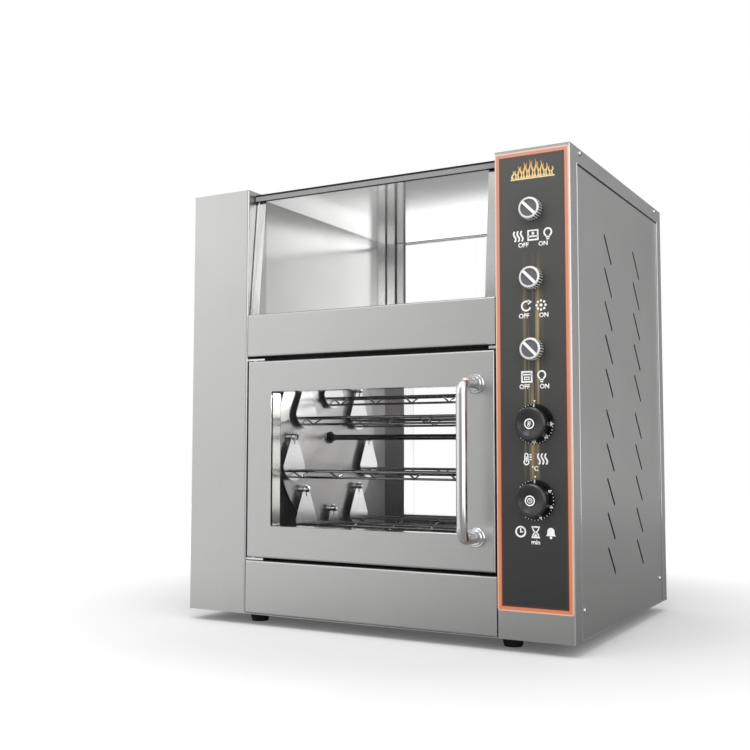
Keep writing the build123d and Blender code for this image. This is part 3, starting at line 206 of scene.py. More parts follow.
tone = add(tree, "ShaderNodeMix", {
    "Factor": path["Is Glossy Ray"], "A": "#d8d8d8", "B": mirrored,
}, data_type="RGBA")
sheet = add(tree, "ShaderNodeBsdfDiffuse", {"Color": tone})
distance = add(tree, "ShaderNodeVectorMath", {0: spot}, operation="LENGTH")
rise = add(tree, "ShaderNodeMapRange", {
    "Value": distance, "From Min": LIFT_REACH[0], "From Max": LIFT_REACH[1],
    "To Min": LIFT_LEVELS[0], "To Max": LIFT_LEVELS[1],
})
glow = add(tree, "ShaderNodeMath", {0: rise, 1: path["Is Camera Ray"]}, operation="MULTIPLY")
lift = add(tree, "ShaderNodeEmission", {"Color": "#ffffff", "Strength": glow})
both = add(tree, "ShaderNodeAddShader", {0: sheet, 1: lift})
add(tree, "ShaderNodeOutputMaterial", {"Surface": both})

mesh = bpy.data.meshes.new("floor")
mesh.from_pydata([(x, y, 0.0) for x, y in FLOOR_CORNERS], [], [(0, 1, 2, 3)])
floor = bpy.data.objects.new("floor", mesh)
mesh.materials.append(material)
scene.collection.objects.link(floor)
print("floor corners", FLOOR_CORNERS)

# %% [markdown]
# One large softbox hangs high above the front of the machine. It gives the knobs and the handle their
# highlights and keeps the shadow soft and close to the machine.

# %% Softbox
SOFTBOX_PLACE = Vector((0.1, -1.6, 3.2))
SOFTBOX_AIM = Vector((0.0, 0.0, 0.35))
SOFTBOX_SIZE = 1.8
SOFTBOX_POWER = 40.0

lamp = bpy.data.lights.new("softbox", "AREA")
lamp.shape = "SQUARE"
lamp.size = SOFTBOX_SIZE
lamp.energy = SOFTBOX_POWER
softbox = bpy.data.objects.new("softbox", lamp)
softbox.location = SOFTBOX_PLACE
softbox.rotation_euler = (SOFTBOX_AIM - SOFTBOX_PLACE).to_track_quat("-Z", "Y").to_euler()
scene.collection.objects.link(softbox)
print("softbox", SOFTBOX_SIZE, "m at", tuple(SOFTBOX_PLACE))

# %% [markdown]
# The casing is stainless steel sheet with a satin finish: an abrasive belt leaves long, very fine
# scratches along the sheet. The eye gets a soft, slightly streaked reflection. Noise that is stretched
# along the grain does this, and it moves the tone and the bump together, while a larger noise moves the
# roughness. The real scratches are about 0.05 mm wide. They are drawn 1 mm wide, because finer ones
# would not show. The walls of the display cabinet are the same sheet with a brighter polish.

# %% Satin stainless steel
GRAIN_WIDTH = 1.0 * MM
GRAIN_LENGTH = 90.0 * MM
GRAIN_DEPTH = 0.1 * MM
GRAIN_STRENGTH = 0.04
SMUDGE_SIZE = 140.0 * MM
# Most of a noise lies between these two values.
NOISE_LOW = 0.3
NOISE_HIGH = 0.7
FOLD_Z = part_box("display_ceiling")[0].z
FOLD_REACH = 50.0 * MM
FLANGE_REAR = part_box("display_ceiling")[0].y + 1.0 * MM


def satin_steel(name, along, dark, light, rough, lean=0.0, front=None):
    """Satin sheet with its grain along one axis, between two tones and two roughness values.

    With a lean, a bump tilts the shading of upright sheet back towards its fold at the ceiling, up to that
    slope. A front tone is a darker painted shade on the flanges next to the front glass."""
    material, tree = new_material(name)
    spot = add(tree, "ShaderNodeTexCoord").outputs["Object"]
    place = add(tree, "ShaderNodeSeparateXYZ", {"Vector": spot}).outputs
    stretch = [1 / GRAIN_WIDTH] * 3
    stretch[along] = 1 / GRAIN_LENGTH
    laid = add(tree, "ShaderNodeMapping", {"Vector": spot, "Scale": stretch})
    grain = add(tree, "ShaderNodeTexNoise", {"Vector": laid, "Scale": 1.0, "Detail": 3.0, "Roughness": 0.6})
    smudge = add(tree, "ShaderNodeTexNoise", {"Vector": spot, "Scale": 1 / SMUDGE_SIZE, "Detail": 2.0})
    tone = add(tree, "ShaderNodeMix", {"Factor": grain, "A": dark, "B": light}, data_type="RGBA")
    if front:
        # Painted shade: the flanges next to the front glass get the darker front tone.
        flange = add(tree, "ShaderNodeMath", {0: place["Y"], 1: FLANGE_REAR}, operation="LESS_THAN")
        tone = add(tree, "ShaderNodeMix", {"Factor": flange, "A": tone, "B": front}, data_type="RGBA")
    polish = add(tree, "ShaderNodeMapRange", {
        "Value": smudge, "From Min": NOISE_LOW, "From Max": NOISE_HIGH,
        "To Min": rough[0], "To Max": rough[1],
    })
    scratches = {"Height": grain, "Strength": GRAIN_STRENGTH, "Distance": GRAIN_DEPTH}
    if lean:
        near_fold = add(tree, "ShaderNodeMapRange", {
            "Value": place["Z"], "From Min": FOLD_Z - FOLD_REACH, "From Max": FOLD_Z,
        })
        bend = add(tree, "ShaderNodeMath", {0: near_fold, 1: 2.0}, operation="POWER")
        scratches["Normal"] = add(tree, "ShaderNodeBump", {
            "Height": bend, "Strength": 1.0, "Distance": lean * FOLD_REACH / 2,
        }, invert=True)
    metal = add(tree, "ShaderNodeBsdfPrincipled", {
        "Base Color": tone, "Metallic": 1.0, "Roughness": polish,
        "Normal": add(tree, "ShaderNodeBump", scratches),
    })
    add(tree, "ShaderNodeOutputMaterial", {"Surface": metal})
    return material


upright_satin, level_satin, deep_satin = [
    satin_steel(f"satin_stainless_{name}", along, "#c6c6c5", "#cfcfce", (0.29, 0.35))
    for name, along in (("upright", 2), ("level", 0), ("deep", 1))
]
# The display walls carry a painted shade: a darker tone on their flanges next to the front glass.
display_satin = satin_steel(
    "bright_satin_display_wall", 2, "#ececeb", "#f3f3f2", (0.16, 0.20), lean=0.08, front="#d6d6d5")
print("satin finishes:", upright_satin.name, level_satin.name, deep_satin.name, display_satin.name)

# %% [markdown]
# The wheel plates, the ceiling of the display cabinet and the sleeves of the rear openings are polished
# sheet. They work as dull mirrors: the wheel plate shows a soft double of each hanger, and the ceiling
# shows the floor and the white beyond it. A faint drift of the roughness keeps the mirror from looking
# like glass. The hubs of the wheel plates are black: they stand on the inner side, so the distance from
# the middle of the machine tells them apart.

# %% Mirror polished sheet
HUB_SPAN = 207.8 * MM


def mirror_sheet(name, tone, rough, black_within=0.0):
    """Polished sheet; what lies nearer to the middle of the machine than a distance is black."""
    material, tree = new_material(name)
    spot = add(tree, "ShaderNodeTexCoord").outputs["Object"]
    haze = add(tree, "ShaderNodeTexNoise", {"Vector": spot, "Scale": 1 / SMUDGE_SIZE, "Detail": 3.0})
    polish = add(tree, "ShaderNodeMapRange", {
        "Value": haze, "From Min": NOISE_LOW, "From Max": NOISE_HIGH, "To Min": rough[0], "To Max": rough[1],
    })
    if black_within:
        place = add(tree, "ShaderNodeSeparateXYZ", {"Vector": spot}).outputs
        across = add(tree, "ShaderNodeMath", {0: place["X"]}, operation="ABSOLUTE")
        bare = add(tree, "ShaderNodeMath", {0: across, 1: black_within}, operation="GREATER_THAN")
        tone = add(tree, "ShaderNodeMix", {"Factor": bare, "A": "#141415", "B": tone}, data_type="RGBA")
    metal = add(tree, "ShaderNodeBsdfPrincipled", {"Base Color": tone, "Metallic": 1.0, "Roughness": polish})
    add(tree, "ShaderNodeOutputMaterial", {"Surface": metal})
    return material


wheel_mirror = mirror_sheet("polished_wheel_plate", "#c6c5c4", (0.29, 0.34), black_within=HUB_SPAN)
ceiling_mirror = mirror_sheet("polished_ceiling_sheet", "#f2f2f2", (0.08, 0.10))
sleeve_mirror = mirror_sheet("polished_sleeve_sheet", "#f0f0f0", (0.06, 0.12))
chrome = mirror_sheet("bright_chrome_plate", "#e6e6e8", (0.04, 0.09))
print("mirror finishes:", wheel_mirror.name, ceiling_mirror.name, sleeve_mirror.name, chrome.name)

# %% [markdown]
# The oven's lining is plain steel that heat and syrup have turned dull. Its colour carries a painted
# shade: darker in its lower half, where a height ramp with a ragged edge from noise gives the change,
# and black towards the door, where the cavity lies in shade. The door's inner sheet is the same steel,
# but the reveal round its window is polished and shows the light from the rear window as a white strip.
# The reveal is the part of that piece that lies in front of the sheet.

# %% Oven steel
# Painted shade on the oven lining: darker below these heights and black towards the door.
PAINTED_SHADE_LOW = 0.17
PAINTED_SHADE_HIGH = 0.42
PAINTED_SHADE_SIZE = 60.0 * MM
PAINTED_SHADE_SWING = 0.12
DOOR_SHADE_DEPTH = (-0.12, 0.14)
LINER_SHEET = 1.05 * MM
OVEN_METALLIC = 0.25
OVEN_ROUGH = 0.40
REVEAL_ROUGH = 0.16

door_liner_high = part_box("door_liner")[1]


def oven_steel(name, bright_before=None):
    """Steel with a painted shade, darker low down and black towards the door; what lies in front of a depth,
    if one is given, is polished.
    """
    material, tree = new_material(name)
    spot = add(tree, "ShaderNodeTexCoord").outputs["Object"]
    place = add(tree, "ShaderNodeSeparateXYZ", {"Vector": spot}).outputs
    cloud = add(tree, "ShaderNodeTexNoise", {"Vector": spot, "Scale": 1 / PAINTED_SHADE_SIZE, "Detail": 5.0})
    ragged = add(tree, "ShaderNodeMath", {0: cloud, 1: PAINTED_SHADE_SWING, 2: place["Z"]}, operation="MULTIPLY_ADD")
    rise = add(tree, "ShaderNodeMapRange", {
        "Value": ragged, "From Min": PAINTED_SHADE_LOW + PAINTED_SHADE_SWING / 2, "From Max": PAINTED_SHADE_HIGH + PAINTED_SHADE_SWING / 2,
    })
    height_shade = add(tree, "ShaderNodeMix", {"Factor": rise, "A": "#7a797a", "B": "#c2c1c1"}, data_type="RGBA")
    door_shade = add(tree, "ShaderNodeMapRange", {
        "Value": place["Y"], "From Min": DOOR_SHADE_DEPTH[0], "From Max": DOOR_SHADE_DEPTH[1],
    })
    shaded_lining = add(tree, "ShaderNodeMix", {"Factor": door_shade, "A": "#1e1d1d", "B": height_shade}, data_type="RGBA")
    finish = {"Base Color": shaded_lining, "Metallic": OVEN_METALLIC, "Roughness": OVEN_ROUGH}
    if bright_before is not None:
        bright = add(tree, "ShaderNodeMath", {0: place["Y"], 1: bright_before}, operation="LESS_THAN")
        finish = {
            "Base Color": add(tree, "ShaderNodeMix", {
                "Factor": bright, "A": shaded_lining, "B": "#f3f2ee",
            }, data_type="RGBA"),
            "Metallic": add(tree, "ShaderNodeMapRange", {
                "Value": bright, "To Min": OVEN_METALLIC, "To Max": 1.0,
            }),
            "Roughness": add(tree, "ShaderNodeMapRange", {
                "Value": bright, "To Min": OVEN_ROUGH, "To Max": REVEAL_ROUGH,
            }),
        }
    metal = add(tree, "ShaderNodeBsdfPrincipled", finish)
    add(tree, "ShaderNodeOutputMaterial", {"Surface": metal})
    return material


oven_satin = oven_steel("oven_steel_with_painted_shade")
door_liner_steel = oven_steel("steel_with_painted_shade_and_polished_reveal", door_liner_high.y - LINER_SHEET)
print("oven steel darkens below", PAINTED_SHADE_HIGH, "m")

# %% [markdown]
# The baskets are made from two things: flat steel hangers at both ends and oiled dark wire between them.
# The outer faces of the hangers, next to the wheel plates, are painted black, a painted shade on the
# faces that the wheel plates mirror. One material tells these apart by the distance from the middle of
# the machine, which does not change as the wheel turns.

# %% Basket steel and wire
HANGER_INSIDE = 198.4 * MM
HANGER_OUTSIDE = 198.7 * MM
STAIN_SIZE = 18.0 * MM

basket_finish, tree = new_material("basket_steel_and_dark_wire")
spot = add(tree, "ShaderNodeTexCoord").outputs["Object"]
place = add(tree, "ShaderNodeSeparateXYZ", {"Vector": spot}).outputs
across = add(tree, "ShaderNodeMath", {0: place["X"]}, operation="ABSOLUTE")
plate = add(tree, "ShaderNodeMath", {0: across, 1: HANGER_INSIDE}, operation="GREATER_THAN")
# Painted shade: the outer faces of the hangers are black.
shaded_back = add(tree, "ShaderNodeMath", {0: across, 1: HANGER_OUTSIDE}, operation="GREATER_THAN")
stain = add(tree, "ShaderNodeTexNoise", {"Vector": spot, "Scale": 1 / STAIN_SIZE, "Detail": 4.0})
steel = add(tree, "ShaderNodeMix", {"Factor": stain, "A": "#f2f1f1", "B": "#fcfbfb"}, data_type="RGBA")
wire = add(tree, "ShaderNodeMix", {"Factor": plate, "A": "#8c8c8e", "B": steel}, data_type="RGBA")
tone = add(tree, "ShaderNodeMix", {"Factor": shaded_back, "A": wire, "B": "#0c0c0c"}, data_type="RGBA")
polish = add(tree, "ShaderNodeMapRange", {"Value": stain, "To Min": 0.17, "To Max": 0.26})
metal = add(tree, "ShaderNodeBsdfPrincipled", {"Base Color": tone, "Metallic": 1.0, "Roughness": polish})
add(tree, "ShaderNodeOutputMaterial", {"Surface": metal})
print("basket finish changes at", HANGER_INSIDE, "and", HANGER_OUTSIDE)

# %% [markdown]
# Clear float glass closes the oven window, the display cabinet and the rear hatch. A thin pane does not
# bend what is behind it, so the light goes straight through, and a thin gloss lies over it. The Fresnel
# factor makes that gloss stronger at a low angle, as on real glass. Most of it is taken off, so that the
# panes stay clear next to the bright studio walls.

# %% Clear glass
GLASS_IOR = 1.52
GLOSS_SHARE = 0.06

clear_glass, tree = new_material("clear_float_glass")
edge = add(tree, "ShaderNodeFresnel", {"IOR": GLASS_IOR})
share = add(tree, "ShaderNodeMath", {0: edge, 1: GLOSS_SHARE}, operation="MULTIPLY")
through = add(tree, "ShaderNodeBsdfTransparent", {"Color": "#ffffff"})
gloss = add(tree, "ShaderNodeBsdfAnisotropic", {"Color": "#ffffff", "Roughness": 0.02})
pane = add(tree, "ShaderNodeMixShader", {0: share, 1: through, 2: gloss})
add(tree, "ShaderNodeOutputMaterial", {"Surface": pane})
print("glass:", clear_glass.name)

# %% [markdown]
# Moulded, dipped and drawn parts share one kind of surface: a base tone, a fine texture from the mould or
# the die, and a roughness that drifts a little. Each gets its own colour, texture size and gloss.

# %% Plastics, rubber and painted metal
ROUGH_DRIFT = 0.03
MOULD_STRENGTH = 0.2


def moulded(name, dark, light, rough, texture, metallic=0.0, ior=1.5, bump_depth=0.05 * MM):
    """A finish with a mottled tone and a fine bump of a given texture size."""
    material, tree = new_material(name)
    spot = add(tree, "ShaderNodeTexCoord").outputs["Object"]
    mottle = add(tree, "ShaderNodeTexNoise", {"Vector": spot, "Scale": 1 / texture, "Detail": 3.0})
    tone = add(tree, "ShaderNodeMix", {"Factor": mottle, "A": dark, "B": light}, data_type="RGBA")
    polish = add(tree, "ShaderNodeMapRange", {
        "Value": mottle, "From Min": NOISE_LOW, "From Max": NOISE_HIGH,
        "To Min": rough - ROUGH_DRIFT, "To Max": rough + ROUGH_DRIFT,
    })
    bump = add(tree, "ShaderNodeBump", {
        "Height": mottle, "Strength": MOULD_STRENGTH, "Distance": bump_depth,
    })
    body = add(tree, "ShaderNodeBsdfPrincipled", {
        "Base Color": tone, "Metallic": metallic, "Roughness": polish, "IOR": ior, "Normal": bump,
    })
    add(tree, "ShaderNodeOutputMaterial", {"Surface": body})
    return material


dark_rod = moulded("oiled_dark_steel", "#555557", "#68686a", 0.20, 2.0 * MM, metallic=1.0)
bronze = moulded("sintered_bronze", "#8a6a40", "#a07f52", 0.45, 0.8 * MM, metallic=1.0)
heater_sheath = moulded("heat_tinted_heater_tube", "#3b3a3c", "#57524f", 0.42, 6.0 * MM, metallic=1.0)
track_aluminium = moulded("anodised_aluminium", "#f0f0f1", "#f6f6f7", 0.30, 0.5 * MM, metallic=1.0)
knob_silver = moulded("silver_knob_lacquer", "#ececec", "#fafafa", 0.30, 0.6 * MM, metallic=0.35)
knob_grey = moulded("dark_grey_knob_inlay", "#565658", "#707072", 0.38, 0.8 * MM)
switch_plastic = moulded("black_glass_filled_nylon", "#161617", "#202021", 0.50, 0.5 * MM, ior=1.53)
motor_grey = moulded("grey_hammer_paint", "#6b6e70", "#7c7f81", 0.40, 1.5 * MM)
foot_rubber = moulded("black_foot_rubber", "#121212", "#1b1b1b", 0.62, 0.7 * MM, ior=1.52)
gasket_silicone = moulded("grey_silicone_rubber", "#77716b", "#857f79", 0.55, 0.8 * MM, ior=1.41)
# A black painted shade, for the strips under the cap flanges and along the roof's edge.
shade_black = moulded("black_painted_shade", "#101010", "#191919", 0.60, 0.8 * MM, ior=1.41)
seal_grey = moulded("grey_silicone_seal", "#8c8c8c", "#9a9a9a", 0.60, 0.8 * MM, ior=1.41)
mineral_wool = moulded("yellow_mineral_wool", "#a58d4a", "#d0bb78", 0.95, 2.5 * MM, bump_depth=1.5 * MM)
white_ink = moulded("white_screen_ink", "#fafafa", "#ffffff", 0.50, 0.4 * MM, bump_depth=0.01 * MM)
recess_black = moulded("dark_screw_recess", "#1a1a1b", "#262627", 0.60, 0.4 * MM)
print("moulded finishes ready, the last is", recess_black.name)

# %% [markdown]
# A knob has another colour on its front than on its side. The dial knobs are black plastic with a dark
# grey face, and the switch knobs are dark in the grooves of their grip and silver on their rim. The front
# is what lies before a depth, measured from the knob's own front. The dials have a cone cut into their
# face, and a bump rounds that cone to a bowl.

# %% Two-tone knobs
KNOB_IOR = 1.49
SPARK_SIZE = 0.5 * MM
SPARK_DEPTH = 0.03 * MM
DIAL_BOWL = 5.0 * MM
DIAL_FRONT = 3.2 * MM
SWITCH_FRONT = 1.1 * MM


def middle_of(name):
    """The middle of a CAD piece's box."""
    low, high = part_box(name)
    return (low + high) / 2


def two_tone(name, knob, depth, side, front, rough, metallic=0.0, dish=0.0):
    """Plastic with one tone on the side of a knob and another on its front, which may be dished."""
    material, tree = new_material(name)
    low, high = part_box(knob)
    spot = add(tree, "ShaderNodeTexCoord").outputs["Object"]
    place = add(tree, "ShaderNodeSeparateXYZ", {"Vector": spot}).outputs
    before = add(tree, "ShaderNodeMath", {0: place["Y"], 1: low.y + depth}, operation="LESS_THAN")
    tone = add(tree, "ShaderNodeMix", {"Factor": before, "A": side, "B": front}, data_type="RGBA")
    spark = add(tree, "ShaderNodeTexNoise", {"Vector": spot, "Scale": 1 / SPARK_SIZE, "Detail": 3.0})
    sparkle = {"Height": spark, "Strength": MOULD_STRENGTH, "Distance": SPARK_DEPTH}
    if dish:
        axis = (middle_of(knob).x, 0.0, middle_of(knob).z)
        flat = add(tree, "ShaderNodeVectorMath", {0: spot, 1: (1.0, 0.0, 1.0)}, operation="MULTIPLY")
        radius = add(tree, "ShaderNodeVectorMath", {0: flat, 1: axis}, operation="DISTANCE")
        share = add(tree, "ShaderNodeMath", {0: radius, 1: (high.z - low.z) / 2}, operation="DIVIDE")
        bowl = add(tree, "ShaderNodeMath", {0: share, 1: 2.0}, operation="POWER")
        sparkle["Normal"] = add(tree, "ShaderNodeBump", {"Height": bowl, "Strength": 1.0, "Distance": dish})
    if metallic:
        metallic = add(tree, "ShaderNodeMath", {0: before, 1: metallic}, operation="MULTIPLY")
    plastic = add(tree, "ShaderNodeBsdfPrincipled", {
        "Base Color": tone, "Metallic": metallic, "Roughness": rough, "IOR": KNOB_IOR,
        "Normal": add(tree, "ShaderNodeBump", sparkle),
    })
    add(tree, "ShaderNodeOutputMaterial", {"Surface": plastic})
    print(name, "changes at y =", round(low.y + depth, 4))
    return material


dials = {}
for knob in ("temperature_knob", "timer_knob"):
    dials[knob] = two_tone(
        f"black_plastic_{knob}", knob, DIAL_FRONT, "#121213", "#2e2e30", 0.29, dish=DIAL_BOWL)
switch_lacquer = two_tone(
    "silver_rim_on_dark_knob", "rotation_knob", SWITCH_FRONT, "#2a2a2b", "#f4f4f4", 0.30, metallic=0.35)

# %% [markdown]
# The lamp covers glow. The oven lamp has a glass dome and lights the oven, and the batten in the display
# cabinet has a milky acrylic cover with a weak light of its own.

# %% Lamp covers
COVER_IOR = 1.49
COVER_ROUGH = 0.30
CLOUD_SIZE = 8.0 * MM


def lamp_cover(name, tone, glow, strength):
    """A cloudy cover with a light of its own."""
    material, tree = new_material(name)
    spot = add(tree, "ShaderNodeTexCoord").outputs["Object"]
    cloud = add(tree, "ShaderNodeTexNoise", {"Vector": spot, "Scale": 1 / CLOUD_SIZE, "Detail": 2.0})
    shade = add(tree, "ShaderNodeMix", {"Factor": cloud, "A": tone, "B": "#ffffff"}, data_type="RGBA")
    cover = add(tree, "ShaderNodeBsdfPrincipled", {
        "Base Color": shade, "Roughness": COVER_ROUGH, "IOR": COVER_IOR,
        "Emission Color": glow, "Emission Strength": strength,
    })
    add(tree, "ShaderNodeOutputMaterial", {"Surface": cover})
    return material


oven_lamp_cover = lamp_cover("frosted_lamp_glass", "#ece7dc", "#ffffff", 260.0)
batten_cover = lamp_cover("opal_acrylic_cover", "#f4f4f2", "#fff8ee", 0.5)
print("lamp covers:", oven_lamp_cover.name, batten_cover.name)

# %% [markdown]
# The control strip is a printed film on a thin plate: charcoal, with an orange border, a pale outer edge
# and a dark line inside the border. The distance to the nearest edge of the strip picks the colour. The
# orange and the charcoal carry a painted shade: they are paler at the top of the strip and darker at its
# foot. Soft gold streaks run down the middle of the charcoal, which fade out at both ends.

# %% Printed control strip
BORDER_SPAN = 20.0 * MM
BORDER_HIGH = [
    (0.0, "#eccab9"), (0.070, "#eccab9"), (0.120, "#cf957c"), (0.310, "#cf957c"), (0.355, "#6f4536"),
    (0.470, "#553f38"),
]
BORDER_LOW = [
    (0.0, "#e8bda6"), (0.070, "#e3ab8e"), (0.120, "#d5825c"), (0.310, "#d27c55"), (0.355, "#52281a"),
    (0.470, "#3d2a22"),
]
BORDER_END = 9.6 * MM
STREAK_WIDTH = 5.0 * MM
STREAK_LENGTH = 300.0 * MM
STREAK_LEVELS = (0.46, 0.70)
STREAK_STRENGTH = 0.80
STREAK_HALF = 17.0 * MM
STREAK_SPAN = 185.0 * MM
FILM_IOR = 1.58
FILM_ROUGH = 0.36
VELVET_SIZE = 0.4 * MM
VELVET_DEPTH = 0.02 * MM
VELVET_STRENGTH = 0.08

fascia_low, fascia_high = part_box("control_fascia")
fascia_middle = (fascia_low + fascia_high) / 2
fascia_half = (fascia_high - fascia_low) / 2
fascia_print, tree = new_material("printed_charcoal_film")
spot = add(tree, "ShaderNodeTexCoord").outputs["Object"]
centred = add(tree, "ShaderNodeMapping", {"Vector": spot, "Location": -fascia_middle})
place = add(tree, "ShaderNodeSeparateXYZ", {"Vector": centred}).outputs
aside = add(tree, "ShaderNodeMath", {0: place["X"]}, operation="ABSOLUTE")
upward = add(tree, "ShaderNodeMath", {0: place["Z"]}, operation="ABSOLUTE")
side_gap = add(tree, "ShaderNodeMath", {0: fascia_half.x, 1: aside}, operation="SUBTRACT")
end_gap = add(tree, "ShaderNodeMath", {0: fascia_half.z, 1: upward}, operation="SUBTRACT")
gap = add(tree, "ShaderNodeMath", {0: side_gap, 1: end_gap}, operation="MINIMUM")
along = add(tree, "ShaderNodeMapRange", {"Value": gap, "From Max": BORDER_SPAN})
# Painted shade: the border and the charcoal get lighter towards the top of the strip.
rise = add(tree, "ShaderNodeMapRange", {
    "Value": place["Z"], "From Min": -fascia_half.z, "From Max": fascia_half.z,
})
bands = []
for stops in (BORDER_LOW, BORDER_HIGH):
    bands.append(add(tree, "ShaderNodeValToRGB", {"Fac": along}))
    fill_ramp(bands[-1], stops)
border = add(tree, "ShaderNodeMix", {"Factor": rise, "A": bands[0], "B": bands[1]}, data_type="RGBA")
inside = add(tree, "ShaderNodeMath", {0: gap, 1: BORDER_END}, operation="GREATER_THAN")
charcoal = add(tree, "ShaderNodeMix", {"Factor": rise, "A": "#252626", "B": "#4e4e4c"}, data_type="RGBA")
drawn = add(tree, "ShaderNodeMapping", {
    "Vector": centred, "Scale": (1 / STREAK_WIDTH, 0.0, 1 / STREAK_LENGTH),
})
streak = add(tree, "ShaderNodeTexNoise", {"Vector": drawn, "Scale": 1.0, "Detail": 1.0})
crest = add(tree, "ShaderNodeMapRange", {
    "Value": streak, "From Min": STREAK_LEVELS[0], "From Max": STREAK_LEVELS[1], "To Max": STREAK_STRENGTH,
})
near = add(tree, "ShaderNodeMapRange", {
    "Value": aside, "From Min": STREAK_HALF, "From Max": 0.3 * STREAK_HALF,
})
fade = add(tree, "ShaderNodeMapRange", {
    "Value": upward, "From Min": STREAK_SPAN, "From Max": 0.5 * STREAK_SPAN,
})
window = add(tree, "ShaderNodeMath", {0: near, 1: fade}, operation="MULTIPLY")
glow = add(tree, "ShaderNodeMath", {0: crest, 1: window}, operation="MULTIPLY")
ground = add(tree, "ShaderNodeMix", {"Factor": glow, "A": charcoal, "B": "#c9ab78"}, data_type="RGBA")
ink = add(tree, "ShaderNodeMix", {"Factor": inside, "A": border, "B": ground}, data_type="RGBA")
velvet = add(tree, "ShaderNodeTexNoise", {"Vector": spot, "Scale": 1 / VELVET_SIZE, "Detail": 2.0})
bump = add(tree, "ShaderNodeBump", {
    "Height": velvet, "Strength": VELVET_STRENGTH, "Distance": VELVET_DEPTH,
})
film = add(tree, "ShaderNodeBsdfPrincipled", {
    "Base Color": ink, "Roughness": FILM_ROUGH, "IOR": FILM_IOR, "Normal": bump,
})
add(tree, "ShaderNodeOutputMaterial", {"Surface": film})
print("control strip", tuple(round(2 * h / MM, 1) for h in fascia_half), "mm")

# %% [markdown]
# The warm motif at the top of the strip is gold ink, pale at its foot and orange at its tips. The height
# within the motif picks the colour.

# %% Gold ink
MOTIF_LOW = 0.681
MOTIF_HIGH = 0.712

gold_ink, tree = new_material("gold_screen_ink")
spot = add(tree, "ShaderNodeTexCoord").outputs["Object"]
place = add(tree, "ShaderNodeSeparateXYZ", {"Vector": spot}).outputs
rise = add(tree, "ShaderNodeMapRange", {"Value": place["Z"], "From Min": MOTIF_LOW, "From Max": MOTIF_HIGH})
warm = add(tree, "ShaderNodeValToRGB", {"Fac": rise})
fill_ramp(warm, [(0.0, "#f0d79a"), (0.35, "#ecc57c"), (0.75, "#c98a55"), (1.0, "#8c5a40")])
ink = add(tree, "ShaderNodeBsdfPrincipled", {"Base Color": warm, "Roughness": 0.5})
add(tree, "ShaderNodeOutputMaterial", {"Surface": ink})
print("gold ink from", MOTIF_LOW, "to", MOTIF_HIGH)

# %% [markdown]
# Each CAD piece now takes its finish. The table is by finish, so that a piece without one is found at once.

# %% Finishes of the CAD pieces
SWITCHES = ["cabinet_light_knob", "rotation_knob", "oven_light_knob"]
FINISHES = {
    upright_satin: [
        "left_front_column", "right_front_column", "left_side_panel", "right_side_panel", "back_panel",
    ],
    level_satin: ["sill_panel", "plinth_panel", "door_skin", "motor_bracket", "base_pan"],
    deep_satin: ["column_caps", "roof_panel"],
    display_satin: ["display_walls", "display_floor"],
    oven_satin: ["oven_front_frame", "oven_liner", "crumb_tray"],
    door_liner_steel: ["door_liner"],
    wheel_mirror: ["wheel_plates"],
    ceiling_mirror: ["display_ceiling"],
    sleeve_mirror: ["rear_sleeves"],
    chrome: ["door_handle", "handle_rosettes", "hinge_blocks", "door_keeper", "case_screws", "basket_pins"],
    dark_rod: ["axle"],
    basket_finish: [f"basket_{index}" for index in range(1, 9)],
    bronze: ["axle_bushes"],
    heater_sheath: ["heating_elements"],
    oven_lamp_cover: ["oven_lamp"],
    batten_cover: ["display_lamp"],
    clear_glass: [
        "rear_window_glass", "display_front_glass", "door_glass", "left_rear_door", "right_rear_door",
    ],
    track_aluminium: ["rear_door_tracks"],
    fascia_print: ["control_fascia"],
    switch_lacquer: SWITCHES,
    **{finish: [knob] for knob, finish in dials.items()},
    switch_plastic: ["rotary_switches", "thermostat", "timer", "cable_gland"],
    motor_grey: ["gearmotor"],
    foot_rubber: ["feet"],
    gasket_silicone: ["door_gasket"],
    mineral_wool: ["insulation"],
}
for finish, names in FINISHES.items():
    for name in names:
        for slot in nodes[name].material_slots:
            slot.material = finish
dressed = {name for names in FINISHES.values() for name in names}
print("dressed", len(dressed), "of", len(nodes), "pieces, without a finish:", sorted(set(nodes) - dressed))

# %% [markdown]
# Small pieces follow: edge beads, screw recesses, knurling and print. One helper makes a finished mesh a
# piece of the object: it moves with a body of the CAD model.
# The other helpers end a shape in progress as such a piece, and add boxes and round bars to one.

# %% Helpers for pieces
def set_piece(name, mesh, body):
    """Puts a mesh into the scene as a piece on a body."""
    piece = bpy.data.objects.new(name, mesh)
    scene.collection.objects.link(piece)
    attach(piece, body)
    print(name, "on", body, "has", len(mesh.polygons), "faces")


def set_shape(name, bm, material, body):
    """Ends a shape in progress as a piece with one material and outward faces."""
    bmesh.ops.recalc_face_normals(bm, faces=bm.faces)
    mesh = bpy.data.meshes.new(name)
    bm.to_mesh(mesh)
    bm.free()
    mesh.materials.append(material)
    set_piece(name, mesh, body)


def add_rod(bm, radius, length, place, sides):
    """Adds a round bar or a disc about the z axis of its place."""
    bmesh.ops.create_cone(bm, cap_ends=True, segments=sides, radius1=radius, radius2=radius,
                          depth=length, matrix=place)


def add_box(bm, low, high, bevel=0.0):
    """Adds a box between two corners, with its edges rounded off."""
    low, high = Vector(low), Vector(high)
    place = Matrix.Translation((low + high) / 2) @ Matrix.Diagonal((*(high - low), 1.0))
    made = bmesh.ops.create_cube(bm, size=1.0, matrix=place)
    if bevel:
        edges = list({edge for v in made["verts"] for edge in v.link_edges})
        bmesh.ops.bevel(bm, geom=edges, offset=bevel, segments=2, affect="EDGES", profile=0.5)


